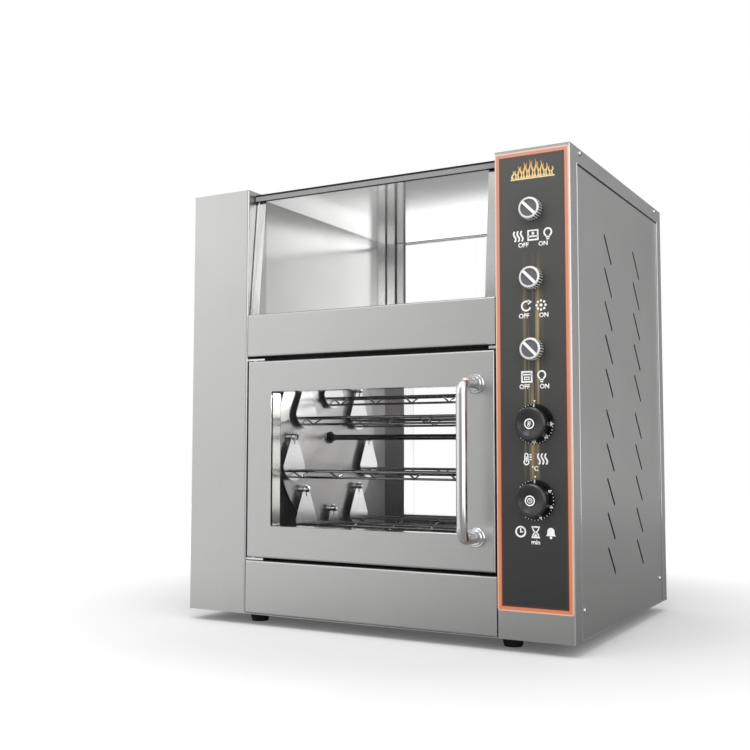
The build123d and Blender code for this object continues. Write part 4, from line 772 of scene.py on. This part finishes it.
# %% [markdown]
# The cut edges of the side sheets are rolled over to a thin bead, so that nobody gets cut on them. A bead
# is round, so somewhere along its curve it always mirrors a bright part of the room, and the eye sees a
# white line. Beads run along the columns, along the back panel, under the flanges of the top caps and down
# the right ends of sill and plinth. A black strip under each cap flange is a painted shadow of the flange
# on the joint.

# %% Rolled sheet edges
BEAD_R = 0.75 * MM
BEAD_SUNK = 0.3 * BEAD_R
BEAD_SIDES = 12
CAP_BEAD_R = 0.5 * MM
SHADOW_STRIP_HEIGHT = 1.8 * MM
SHADOW_STRIP_DEPTH = 0.7 * MM

column_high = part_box("right_front_column")[1]
back_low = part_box("back_panel")[0]
cap_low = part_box("column_caps")[0]
panel_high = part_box("right_side_panel")[1]
bead_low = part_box("right_front_column")[0].z


def add_bead(bm, start, end, radius):
    """Adds a round bead between two points."""
    start, end = Vector(start), Vector(end)
    along = end - start
    place = Matrix.Translation((start + end) / 2) @ along.to_track_quat("Z", "Y").to_matrix().to_4x4()
    add_rod(bm, radius, along.length, place, BEAD_SIDES)


bm = bmesh.new()
shadow_strips = bmesh.new()
# Painted shadow: a black strip under the flange of each top cap.
shadow_strip_top = cap_low.z - CAP_BEAD_R
for side in (-1, 1):
    edge_x = side * (column_high.x - BEAD_SUNK)
    for y in (column_high.y, back_low.y):
        add_bead(bm, (edge_x, y, bead_low), (edge_x, y, cap_low.z), BEAD_R)
    add_bead(bm, (edge_x, column_high.y, cap_low.z), (edge_x, back_low.y, cap_low.z), CAP_BEAD_R)
    shadow_strip_x = side * panel_high.x
    add_box(shadow_strips, (shadow_strip_x - SHADOW_STRIP_DEPTH, column_high.y + BEAD_R, shadow_strip_top - SHADOW_STRIP_HEIGHT),
            (shadow_strip_x + SHADOW_STRIP_DEPTH, back_low.y - BEAD_R, shadow_strip_top))
for name in ("sill_panel", "plinth_panel"):
    low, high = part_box(name)
    add_bead(bm, (high.x, low.y + BEAD_R, low.z), (high.x, low.y + BEAD_R, high.z), BEAD_R)
set_shape("rolled_sheet_edges", bm, chrome, "cabinet")
set_shape("cap_flange_shadow_strips", shadow_strips, shade_black, "cabinet")

# %% [markdown]
# The sliding rear doors have an edge stile of anodised aluminium over the pane's outer edge, and a grey
# glazing strip lies between stile and pane. The posts at the rear of the display have a grey edge strip
# too, and a sealed corner to the wall. The eye sees a row of thin dark uprights there. A grey seal closes
# the gap above the front glass and covers the lower part of the roof's lip, partly a painted shade, and a
# black strip along the roof's edge above it is a painted shade on the lip.

# %% Door stiles, seal strips and painted shade on the roof's edge
STILE_WIDTH = 36.0 * MM
STILE_LOW = 3.2 * MM
STILE_HIGH = 4.2 * MM
STILE_SKIN = 0.15 * MM
STILE_BEVEL = 0.5 * MM
STRIP_WIDTH = 1.3 * MM
STRIP_SETBACK = 0.6 * MM
POST_WIDTH = 20.0 * MM
ROOF_STRIP_THICK = 0.8 * MM
ROOF_SHADE_HEIGHT = 3.4 * MM

for name, side in (("left_rear_door", -1), ("right_rear_door", 1)):
    low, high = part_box(name)
    outer = (low if side < 0 else high).x
    inner = outer - side * STILE_WIDTH
    ends = (low.z + STILE_LOW, high.z - STILE_HIGH)
    bm = bmesh.new()
    add_box(bm, (min(outer, inner) - STILE_SKIN, low.y - STILE_SKIN, ends[0]),
            (max(outer, inner) + STILE_SKIN, high.y + STILE_SKIN, ends[1]), bevel=STILE_BEVEL)
    set_shape(f"{name}_stile", bm, track_aluminium, name)
    bm = bmesh.new()
    strip = sorted((inner, inner - side * STRIP_WIDTH))
    add_box(bm, (strip[0], low.y + STRIP_SETBACK, ends[0]), (strip[1], high.y - STRIP_SETBACK, ends[1]))
    set_shape(f"{name}_glazing_strip", bm, seal_grey, name)

ceiling_low, ceiling_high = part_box("display_ceiling")
display_floor_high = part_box("display_floor")[1]
wall_x = display_floor_high.x
post_y = ceiling_high.y
bm = bmesh.new()
for side in (-1, 1):
    post_x = side * (wall_x - POST_WIDTH)
    for outer, back in ((post_x, post_y + STRIP_SETBACK), (side * wall_x, post_y - STRIP_WIDTH)):
        strip = sorted((outer, outer - side * STRIP_WIDTH))
        front = back - STRIP_WIDTH - STRIP_SETBACK
        add_box(bm, (strip[0], front, display_floor_high.z), (strip[1], back, ceiling_low.z))
set_shape("display_post_seals", bm, seal_grey, "cabinet")

roof_low, roof_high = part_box("roof_panel")
# Painted shade on the roof's lip: a black strip at its top and a grey one below it, which also closes the gap
# above the front glass.
change_z = roof_high.z - ROOF_SHADE_HEIGHT
for name, seal, ends in (("front_glass_seal_and_lip_shade", seal_grey, (ceiling_low.z, change_z)),
                         ("roof_edge_shade_strip", shade_black, (change_z, roof_high.z))):
    bm = bmesh.new()
    add_box(bm, (roof_low.x, roof_low.y - ROOF_STRIP_THICK, ends[0]), (roof_high.x, roof_low.y, ends[1]))
    set_shape(name, bm, seal, "cabinet")

# %% [markdown]
# Knurling, dial ticks and the crosses in the screw heads repeat, so Geometry Nodes make them. The first
# tree sets bars in a ring or an arc: each bar is a box, placed by its index, turned to point outwards, and
# tilted where the surface is a cone. A bar that is spun by 45 degrees about the ring's axis shows an edge
# outwards, and a ring of those is a knurled grip.

# %% Tree for rings of bars
def new_tree(name, sockets):
    """An empty geometry tree with named inputs; returns it with those inputs."""
    tree = bpy.data.node_groups.new(name, "GeometryNodeTree")
    tree.interface.new_socket("Geometry", in_out="INPUT", socket_type="NodeSocketGeometry")
    for label, kind in sockets.items():
        tree.interface.new_socket(label, in_out="INPUT", socket_type=f"NodeSocket{kind}")
    tree.interface.new_socket("Geometry", in_out="OUTPUT", socket_type="NodeSocketGeometry")
    return tree, add(tree, "NodeGroupInput").outputs


def end_tree(tree, points, shape, facing, material):
    """Ends a tree with a shape set on points, turned to face a way, as one painted mesh."""
    placed = add(tree, "GeometryNodeInstanceOnPoints", {
        "Points": points, "Instance": shape, "Rotation": facing,
    })
    solid = add(tree, "GeometryNodeRealizeInstances", {"Geometry": placed})
    painted = add(tree, "GeometryNodeSetMaterial", {"Geometry": solid, "Material": material})
    add(tree, "NodeGroupOutput", {"Geometry": painted})
    print(tree.name, "has", len(tree.nodes), "nodes")


ring_tree, given = new_tree("ring_of_bars", {
    "Count": "Int", "Radius": "Float", "Start": "Float", "Step": "Float", "Spin": "Float", "Tilt": "Float",
    "Lift": "Float", "Size": "Vector", "Material": "Material",
})
index = add(ring_tree, "GeometryNodeInputIndex")
angle = add(ring_tree, "ShaderNodeMath", {
    0: index, 1: given["Step"], 2: given["Start"],
}, operation="MULTIPLY_ADD")
cosine = add(ring_tree, "ShaderNodeMath", {0: angle}, operation="COSINE")
sine = add(ring_tree, "ShaderNodeMath", {0: angle}, operation="SINE")
ring_x = add(ring_tree, "ShaderNodeMath", {0: cosine, 1: given["Radius"]}, operation="MULTIPLY")
ring_y = add(ring_tree, "ShaderNodeMath", {0: sine, 1: given["Radius"]}, operation="MULTIPLY")
place = add(ring_tree, "ShaderNodeCombineXYZ", {"X": ring_x, "Y": ring_y, "Z": given["Lift"]})
points = add(ring_tree, "GeometryNodePoints", {"Count": given["Count"], "Position": place})
spun = add(ring_tree, "ShaderNodeMath", {0: angle, 1: given["Spin"]}, operation="ADD")
facing = add(ring_tree, "ShaderNodeCombineXYZ", {"Y": given["Tilt"], "Z": spun})
bar = add(ring_tree, "GeometryNodeMeshCube", {"Size": given["Size"]})
end_tree(ring_tree, points, bar, facing, given["Material"])

# %% [markdown]
# A tree works on an object, so a helper makes one, gives it the tree as a modifier, sets the inputs by
# their identifiers, and takes the result as a plain mesh. A transform then puts that mesh in its place.

# %% Helper that runs a tree
def grow(tree, values, start=None, place=None):
    """Runs a geometry tree with named values and returns the result as a mesh in its place."""
    seed = start or bpy.data.meshes.new("seed")
    holder = bpy.data.objects.new("holder", seed)
    scene.collection.objects.link(holder)
    modifier = holder.modifiers.new("tree", "NODES")
    modifier.node_group = tree
    for socket in tree.interface.items_tree:
        if socket.in_out == "INPUT" and socket.name in values:
            modifier[socket.identifier] = values[socket.name]
    graph = bpy.context.evaluated_depsgraph_get()
    mesh = bpy.data.meshes.new_from_object(holder.evaluated_get(graph), depsgraph=graph)
    holder.modifiers.remove(modifier)
    bpy.data.objects.remove(holder)
    bpy.data.meshes.remove(seed)
    if place is not None:
        mesh.transform(place)
    return mesh


def knob_place(name, height):
    """The frame of a knob: x to the right, y up, z out of its front, from the middle of its rear face."""
    middle = middle_of(name)
    rear_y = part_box(name)[0].y + height
    return Matrix.Translation((middle.x, rear_y, middle.z)) @ Matrix.Rotation(pi / 2, 4, "X")


print("a knob's axis is", tuple(round(v, 3) for v in knob_place("timer_knob", 0.023).col[2][:3]))

# %% [markdown]
# The three switch knobs have a knurled rim, a dark grey face and a white pointer bar. The knurling is a
# ring of bars that stand on edge. The face is a thin disc in the knob's dish, and the paint on the
# pointer is a thin strip on the raised bar of the CAD model.

# %% Switch knobs
SWITCH_HEIGHT = 17.0 * MM
SWITCH_R = 15.3 * MM
SWITCH_DISH_R = 12.4 * MM
SWITCH_DISH = 1.6 * MM
POINTER_ANGLE = radians(-45.0)
POINTER_SIZE = (23.6 * MM, 3.9 * MM, 0.08 * MM)
POINTER_LIFT = 0.03 * MM
RIB_COUNT = 24
RIB_SIZE = (1.9 * MM, 1.9 * MM, 13.5 * MM)
RIB_SUNK = 0.5 * MM
INLAY_THICKNESS = 0.12 * MM
INLAY_LIFT = 0.01 * MM
INLAY_SIDES = 48

for name in SWITCHES:
    place = knob_place(name, SWITCH_HEIGHT)
    ribs = grow(ring_tree, {
        "Count": RIB_COUNT, "Radius": SWITCH_R - RIB_SUNK, "Start": 0.0, "Step": 2 * pi / RIB_COUNT,
        "Spin": pi / 4, "Tilt": 0.0, "Lift": SWITCH_HEIGHT / 2, "Size": RIB_SIZE, "Material": knob_silver,
    }, place=place)
    set_piece(f"{name}_knurling", ribs, name)
    bm = bmesh.new()
    inlay = Matrix.Translation((0, 0, SWITCH_HEIGHT - SWITCH_DISH + INLAY_THICKNESS / 2 + INLAY_LIFT))
    add_rod(bm, SWITCH_DISH_R, INLAY_THICKNESS, place @ inlay, INLAY_SIDES)
    set_shape(f"{name}_face", bm, knob_grey, name)
    bm = bmesh.new()
    strip = Matrix.Translation((0, 0, SWITCH_HEIGHT + POINTER_LIFT)) @ Matrix.Rotation(POINTER_ANGLE, 4, "Z")
    bmesh.ops.create_cube(bm, size=1.0, matrix=place @ strip @ Matrix.Diagonal((*POINTER_SIZE, 1.0)))
    set_shape(f"{name}_pointer", bm, white_ink, name)

# %% [markdown]
# The print is drawn as flat shapes: lines of a given width and filled patches, in the plane of the
# control strip. Lines get mitred corners. When a drawing is done, it gets the thickness of an ink layer,
# which is real but much thicker than true ink, so that it never sinks into the surface below it.

# %% Helpers for print
INK_THICKNESS = 0.06 * MM
INK_GAP = 0.02 * MM
LETTER_SWELL = 0.03
STEEPEST_MITRE = 0.5


def arc(x, z, radius, start, end, steps=20):
    """Points on an arc, from one angle to another in degrees."""
    turns = [radians(start + (end - start) * i / steps) for i in range(steps + 1)]
    return [Vector((x + radius * cos(a), z + radius * sin(a))) for a in turns]


def circle(x, z, radius, count):
    """Evenly spaced points on a full circle."""
    return arc(x, z, radius, 0, 360 - 360 / count, count - 1)


def ribbon(bm, points, widths, closed=False):
    """Adds a flat line through points; its width is one number, or one for each point."""
    count = len(points)
    edges = []
    for i, point in enumerate(points):
        before = points[i - 1] if i or closed else point
        after = points[(i + 1) % count] if i + 1 < count or closed else point
        come = (point - before if before != point else after - point).normalized()
        leave = (after - point if after != point else come).normalized()
        normal = (come + leave).orthogonal().normalized()
        width = widths[i] if isinstance(widths, list) else widths
        reach = width / 2 / max(STEEPEST_MITRE, normal.dot(leave.orthogonal()))
        pair = (point + normal * reach, point - normal * reach)
        edges.append([bm.verts.new((p.x, 0, p.y)) for p in pair])
    for i in range(count if closed else count - 1):
        (a, b), (c, d) = edges[i], edges[(i + 1) % count]
        bm.faces.new((a, c, d, b))


def patch(bm, points):
    """Adds a filled flat shape."""
    bm.faces.new([bm.verts.new((p[0], 0, p[1])) for p in points])


def lettering(bm, text, size, x, z):
    """Adds plain letters or numbers, centred on a place."""
    font = bpy.data.curves.new("letters", "FONT")
    font.body = text
    font.size = size
    font.align_x = "CENTER"
    font.align_y = "CENTER"
    font.offset = LETTER_SWELL * size
    holder = bpy.data.objects.new("letters", font)
    scene.collection.objects.link(holder)
    graph = bpy.context.evaluated_depsgraph_get()
    mesh = bpy.data.meshes.new_from_object(holder.evaluated_get(graph), depsgraph=graph)
    mesh.transform(Matrix.Translation((x, 0, z)) @ Matrix.Rotation(pi / 2, 4, "X"))
    bm.from_mesh(mesh)
    bpy.data.objects.remove(holder)
    bpy.data.meshes.remove(mesh)
    bpy.data.curves.remove(font)


def ink_layer(bm):
    """Gives a flat drawing its thickness, with its rear face at y = 0."""
    for face in bm.faces:
        face.normal_update()
        if face.normal.y > 0:
            face.normal_flip()
    bmesh.ops.solidify(bm, geom=bm.faces[:], thickness=INK_THICKNESS)
    shift = max(v.co.y for v in bm.verts)
    bmesh.ops.translate(bm, verts=bm.verts, vec=(0, -shift, 0))


def set_print(name, bm, material, place, body):
    """Ends a drawing as a layer of ink at a place."""
    ink_layer(bm)
    bmesh.ops.translate(bm, verts=bm.verts, vec=place)
    set_shape(name, bm, material, body)


print("ink is drawn", INK_THICKNESS, "m thick")

# %% [markdown]
# Each control has a row of white signs and a line of small letters under it. The signs say what the
# control does: a warm cabinet and a bulb, a turning arrow and the wheel, an oven and a bulb, a
# thermometer and heat, and a clock, an hourglass and a bell. Each is drawn in a cell of 15 mm, with its
# own sizes in millimetres.

# %% Signs
LINE = 2.1 * MM
FINE_LINE = 1.8 * MM
THIN_LINE = 1.7 * MM


def dots(*points):
    """Points given in millimetres."""
    return [Vector(p) * MM for p in points]


def frame_points(x, low, high):
    """The corners of an upright box, which reaches as far to the left as to the right."""
    return dots((-x, low), (x, low), (x, high), (-x, high))


def level_line(bm, start, end, z, width):
    """Adds a level line at a height."""
    ribbon(bm, dots((start, z), (end, z)), width)


def wave(x, low, high, swing, steps=14):
    """Points on an upright wavy line."""
    places = [i / steps for i in range(steps + 1)]
    return dots(*[(x + swing * sin(2 * pi * t), low + (high - low) * t) for t in places])


def moved(bm, start, scale, x, z):
    """Scales what was drawn since a vertex count and moves it to its place."""
    bm.verts.ensure_lookup_table()
    drawn = bm.verts[start:]
    bmesh.ops.scale(bm, verts=drawn, vec=(scale, 1, scale))
    bmesh.ops.translate(bm, verts=drawn, vec=(x, 0, z))


def cabinet_sign(bm):
    ribbon(bm, frame_points(6.5, -6, 6), LINE, closed=True)
    level_line(bm, -6.5, 6.5, -1.5, LINE)
    patch(bm, circle(0, 2.2 * MM, 1.9 * MM, 20))


def heat_sign(bm):
    for x in (-4.8, 0.0, 4.8):
        ribbon(bm, wave(x, -6.8, 6.8, 1.5), LINE)


def bulb_sign(bm):
    ribbon(bm, arc(0, 2 * MM, 4.9 * MM, -62, 242), LINE)
    for z, half in ((-3.9, 2.8), (-6.6, 1.8)):
        level_line(bm, -half, half, z, FINE_LINE)


def turning_sign(bm):
    ribbon(bm, arc(0, 0, 5.9 * MM, 50, 340, 30), LINE)
    patch(bm, dots((2.0, 8.4), (2.4, 1.2), (8.2, 5.0)))


def wheel_sign(bm):
    for middle in circle(0, 0, 5.9 * MM, 8):
        patch(bm, circle(middle.x, middle.y, 1.6 * MM, 12))
    patch(bm, circle(0, 0, 2.0 * MM, 24))


def oven_sign(bm):
    ribbon(bm, frame_points(6.5, -6.4, 6.4), LINE, closed=True)
    level_line(bm, -6.5, 6.5, 2.9, FINE_LINE)
    ribbon(bm, frame_points(3.0, -3.4, -0.4), 1.4 * MM, closed=True)


def thermometer_sign(bm):
    top = arc(-1.5 * MM, 4.6 * MM, 2.1 * MM, 0, 180, 10)
    bulb = arc(-1.5 * MM, -4.2 * MM, 3.1 * MM, 130, 410, 20)
    ribbon(bm, top + bulb, THIN_LINE, closed=True)
    patch(bm, dots((-2.2, -4.0), (-0.8, -4.0), (-0.8, 3.0), (-2.2, 3.0)))
    for z in (5.2, 2.2, -0.8):
        level_line(bm, 2.6, 5.6, z, 1.6 * MM)


def clock_sign(bm):
    ribbon(bm, circle(0, 0, 6.2 * MM, 48), LINE, closed=True)
    ribbon(bm, dots((0, 4.2), (0, -0.2), (3.2, -0.2)), FINE_LINE)


def hourglass_sign(bm):
    for z in (-6.4, 6.4):
        level_line(bm, -5.6, 5.6, z, LINE)
    for side in (-1, 1):
        outline = ((4.0, 6.0), (3.6, 3.2), (0.9, 0.0), (3.6, -3.2), (4.0, -6.0))
        ribbon(bm, dots(*[(side * x, z) for x, z in outline]), THIN_LINE)
    patch(bm, dots((-2.6, -5.2), (2.6, -5.2), (0, -1.6)))


def bell_sign(bm):
    dome = arc(0, 1.6 * MM, 4.6 * MM, 0, 180, 16)
    patch(bm, dome + dots((-5.0, -2.2), (-6.6, -4.2), (6.6, -4.2), (5.0, -2.2)))
    patch(bm, circle(0, -6.0 * MM, 1.7 * MM, 20))


print("signs are drawn with lines of", LINE, "m")

# %% [markdown]
# The rows of signs are set on the strip, each at its own height. The switches carry the words OFF and ON,
# and the dials their units.

# %% Print on the control strip
SIGN_STEP = 22.5 * MM
SIGN_SCALE = 1.13
FLOOR_TO_CASING = 18.0 * MM
ON_AND_OFF = "OFF      ON"
# Heights of the signs and of the letters in millimetres above the casing's underside.
SIGN_ROWS = [
    (577.8, 564.0, (heat_sign, cabinet_sign, bulb_sign), ON_AND_OFF),
    (475.4, 460.8, (turning_sign, wheel_sign), ON_AND_OFF),
    (373.2, 358.8, (oven_sign, bulb_sign), ON_AND_OFF),
    (256.2, 242.2, (thermometer_sign, heat_sign), "°C"),
    (153.0, 138.8, (clock_sign, hourglass_sign, bell_sign), "min"),
]
LETTER_SIZE = 9.0 * MM

bm = bmesh.new()
for sign_z, letter_z, signs, words in SIGN_ROWS:
    for order, sign in enumerate(signs):
        start = len(bm.verts)
        sign(bm)
        moved(bm, start, SIGN_SCALE, (order - (len(signs) - 1) / 2) * SIGN_STEP, sign_z * MM)
    lettering(bm, words, LETTER_SIZE, 0, letter_z * MM)
knob_x = middle_of("timer_knob").x
print_y = fascia_low.y - INK_GAP
set_print("control_signs", bm, white_ink, (knob_x, print_y, FLOOR_TO_CASING), "cabinet")

# %% [markdown]
# A row of rising heat waves in gold ink decorates the top of the strip. Each wave is thick at its foot and
# thin at its tip, and the middle ones are the tallest. A long thin line closes the row at its foot.

# %% Gold motif
MOTIF_WAVES = 15
MOTIF_WIDTH = 60.0 * MM
MOTIF_LINE = 2.0 * MM
MOTIF_LINE_DROP = 1.2 * MM
MOTIF_LINE_HALF = 0.56 * MOTIF_WIDTH
# Sizes of the waves in millimetres.
MOTIF_TALL = 27.0
MOTIF_SHORT = 12.0
MOTIF_STAGGER = 3.0
MOTIF_SWING = 1.3
FOOT_WIDTH = 3.8
TIP_WIDTH = 1.0

bm = bmesh.new()
foot = MOTIF_LOW / MM
for index in range(MOTIF_WAVES):
    across = 2 * index / (MOTIF_WAVES - 1) - 1
    odd = index % 2
    tall = MOTIF_TALL - (MOTIF_TALL - MOTIF_SHORT) * abs(across) ** 1.5 - odd * MOTIF_STAGGER
    line = wave(across * MOTIF_WIDTH / 2 / MM, foot, foot + tall, MOTIF_SWING if odd else -MOTIF_SWING)
    taper = (FOOT_WIDTH - TIP_WIDTH) / (len(line) - 1)
    ribbon(bm, line, [(FOOT_WIDTH - taper * i) * MM for i in range(len(line))])
line_z = MOTIF_LOW - MOTIF_LINE_DROP
ribbon(bm, [Vector((side * MOTIF_LINE_HALF, line_z)) for side in (-1, 1)], MOTIF_LINE)
set_print("gold_heat_waves", bm, gold_ink, (knob_x, print_y, 0), "cabinet")

# %% [markdown]
# The dial knobs carry their scales on the skirt, which turns with the knob and is read at a white mark on
# the strip above it. So the numbers run against the turning direction. The skirt is a cone: ticks are
# tilted bars from the ring tree, and numbers are drawn flat and then bent onto the cone point by point. In
# the middle of each knob a white ring holds a small sign.

# %% Dial scales
DIAL_HEIGHT = 23.0 * MM
SKIRT_R = 29.0 * MM
SKIRT_RIM = 1.5 * MM
SKIRT_SLOPE = 1.5 / 7.0
NUMBER_R = 25.4 * MM
NUMBER_SIZE = 4.2 * MM
TICK_R = 28.0 * MM
TICK_LIFT = 0.05 * MM
MINOR_TICK = (1.3 * MM, 0.9 * MM, 0.12 * MM)
MAJOR_TICK = (1.9 * MM, 1.5 * MM, 0.12 * MM)
MINOR_COUNT = 31
MAJOR_COUNT = 7
BADGE_LIFT = 21.0 * MM
BADGE_R = 6.6 * MM
BADGE_LINE = 1.7 * MM
BADGE_SIGN_SCALE = 0.52
DIALS = [
    ("temperature_knob", 270.0, [str(50 * i) for i in range(MAJOR_COUNT)], thermometer_sign),
    ("timer_knob", 300.0, [str(10 * i) for i in range(MAJOR_COUNT)], clock_sign),
]


def skirt_height(radius):
    """The height of the skirt's cone at a radius."""
    return SKIRT_RIM + (SKIRT_R - radius) * SKIRT_SLOPE


for name, sweep, numbers, sign in DIALS:
    place = knob_place(name, DIAL_HEIGHT)
    bm = bmesh.new()
    for count, size in ((MINOR_COUNT, MINOR_TICK), (MAJOR_COUNT, MAJOR_TICK)):
        ticks = grow(ring_tree, {
            "Count": count, "Radius": TICK_R, "Start": pi / 2, "Step": radians(sweep) / (count - 1),
            "Spin": 0.0, "Tilt": atan2(SKIRT_SLOPE, 1.0), "Lift": skirt_height(TICK_R) + TICK_LIFT,
            "Size": size, "Material": white_ink,
        })
        bm.from_mesh(ticks)
        bpy.data.meshes.remove(ticks)
    bmesh.ops.transform(bm, matrix=place, verts=bm.verts)
    set_shape(f"{name}_ticks", bm, white_ink, name)

    bm = bmesh.new()
    for i, number in enumerate(numbers):
        drawing = bmesh.new()
        lettering(drawing, number, NUMBER_SIZE, 0, 0)
        ink_layer(drawing)
        turn = pi / 2 + radians(sweep) * i / (len(numbers) - 1)
        for v in drawing.verts:
            radius = NUMBER_R + v.co.z
            angle = turn - v.co.x / NUMBER_R
            v.co = Vector((radius * cos(angle), radius * sin(angle), skirt_height(radius) + INK_GAP - v.co.y))
        flat = bpy.data.meshes.new("number")
        drawing.to_mesh(flat)
        drawing.free()
        bm.from_mesh(flat)
        bpy.data.meshes.remove(flat)
    bmesh.ops.transform(bm, matrix=place, verts=bm.verts)
    set_shape(f"{name}_numbers", bm, white_ink, name)

    bm = bmesh.new()
    sign(bm)
    bmesh.ops.scale(bm, vec=(BADGE_SIGN_SCALE, 1, BADGE_SIGN_SCALE), verts=bm.verts)
    ribbon(bm, circle(0, 0, BADGE_R, 48), BADGE_LINE, closed=True)
    middle = middle_of(name)
    badge_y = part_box(name)[0].y + DIAL_HEIGHT - BADGE_LIFT - INK_GAP
    set_print(f"{name}_badge", bm, white_ink, (middle.x, badge_y, middle.z), name)

# %% [markdown]
# A small white triangle on the strip above each dial is the mark that the scale is read at.

# %% Dial marks on the strip
MARK_GAP = 30.6 * MM
MARK_SIZE = 3.4 * MM

bm = bmesh.new()
for name, *_ in DIALS:
    middle = middle_of(name)
    tip = middle.z + MARK_GAP
    top = tip + MARK_SIZE
    patch(bm, [(middle.x, tip), (middle.x + MARK_SIZE / 2, top), (middle.x - MARK_SIZE / 2, top)])
set_print("dial_marks", bm, white_ink, (0, print_y, 0), "cabinet")

# %% [markdown]
# The pan head screws of the casing have a cross recess for the screwdriver. A second tree puts a cross on
# each screw: the points carry the direction that the screw faces, and each cross is turned to it.

# %% Screw recesses
CROSS_LENGTH = 3.6 * MM
CROSS_WIDTH = 0.9 * MM
CROSS_DEPTH = 0.3 * MM
SIDE_SCREW_INSET = 44.0 * MM
SIDE_SCREW_Z = (42.0 * MM, 700.0 * MM)
BACK_SCREW_INSET = 24.0 * MM
BACK_SCREW_Z = 24.0 * MM
INNER_HALF = 224.0 * MM

cross_tree, given = new_tree("crosses_on_screws", {
    "Length": "Float", "Width": "Float", "Depth": "Float", "Material": "Material",
})
cross = add(cross_tree, "GeometryNodeJoinGeometry")
for x, y in (("Length", "Width"), ("Width", "Length")):
    size = add(cross_tree, "ShaderNodeCombineXYZ", {"X": given[x], "Y": given[y], "Z": given["Depth"]})
    bar = add(cross_tree, "GeometryNodeMeshCube", {"Size": size})
    cross_tree.links.new(bar.outputs["Mesh"], cross.inputs["Geometry"])
facing = add(cross_tree, "GeometryNodeInputNamedAttribute", {"Name": "facing"}, data_type="FLOAT_VECTOR")
aimed = add(cross_tree, "FunctionNodeAlignRotationToVector", {"Vector": facing}, axis="Z")
end_tree(cross_tree, given["Geometry"], cross, aimed, given["Material"])

screw_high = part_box("case_screws")[1]
back_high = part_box("back_panel")[1]
front_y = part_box("right_front_column")[0].y
low_x = screw_high.x - (column_high.x - panel_high.x)
places = []
for side in (-1, 1):
    for y in (front_y + SIDE_SCREW_INSET, back_high.y - SIDE_SCREW_INSET):
        for x, z in zip((low_x, screw_high.x), SIDE_SCREW_Z):
            places.append(((side * x, y, z + FLOOR_TO_CASING), (side, 0, 0)))
for x in (BACK_SCREW_INSET - INNER_HALF, 0.0, INNER_HALF - BACK_SCREW_INSET):
    places.append(((x, screw_high.y, BACK_SCREW_Z + FLOOR_TO_CASING), (0, 1, 0)))
heads = bpy.data.meshes.new("screw_heads")
heads.from_pydata([spot for spot, _ in places], [], [])
facings = heads.attributes.new("facing", "FLOAT_VECTOR", "POINT")
for item, (_, direction) in zip(facings.data, places):
    item.vector = direction
recesses = grow(cross_tree, {
    "Length": CROSS_LENGTH, "Width": CROSS_WIDTH, "Depth": CROSS_DEPTH, "Material": recess_black,
}, start=heads)
set_piece("screw_recesses", recesses, "cabinet")
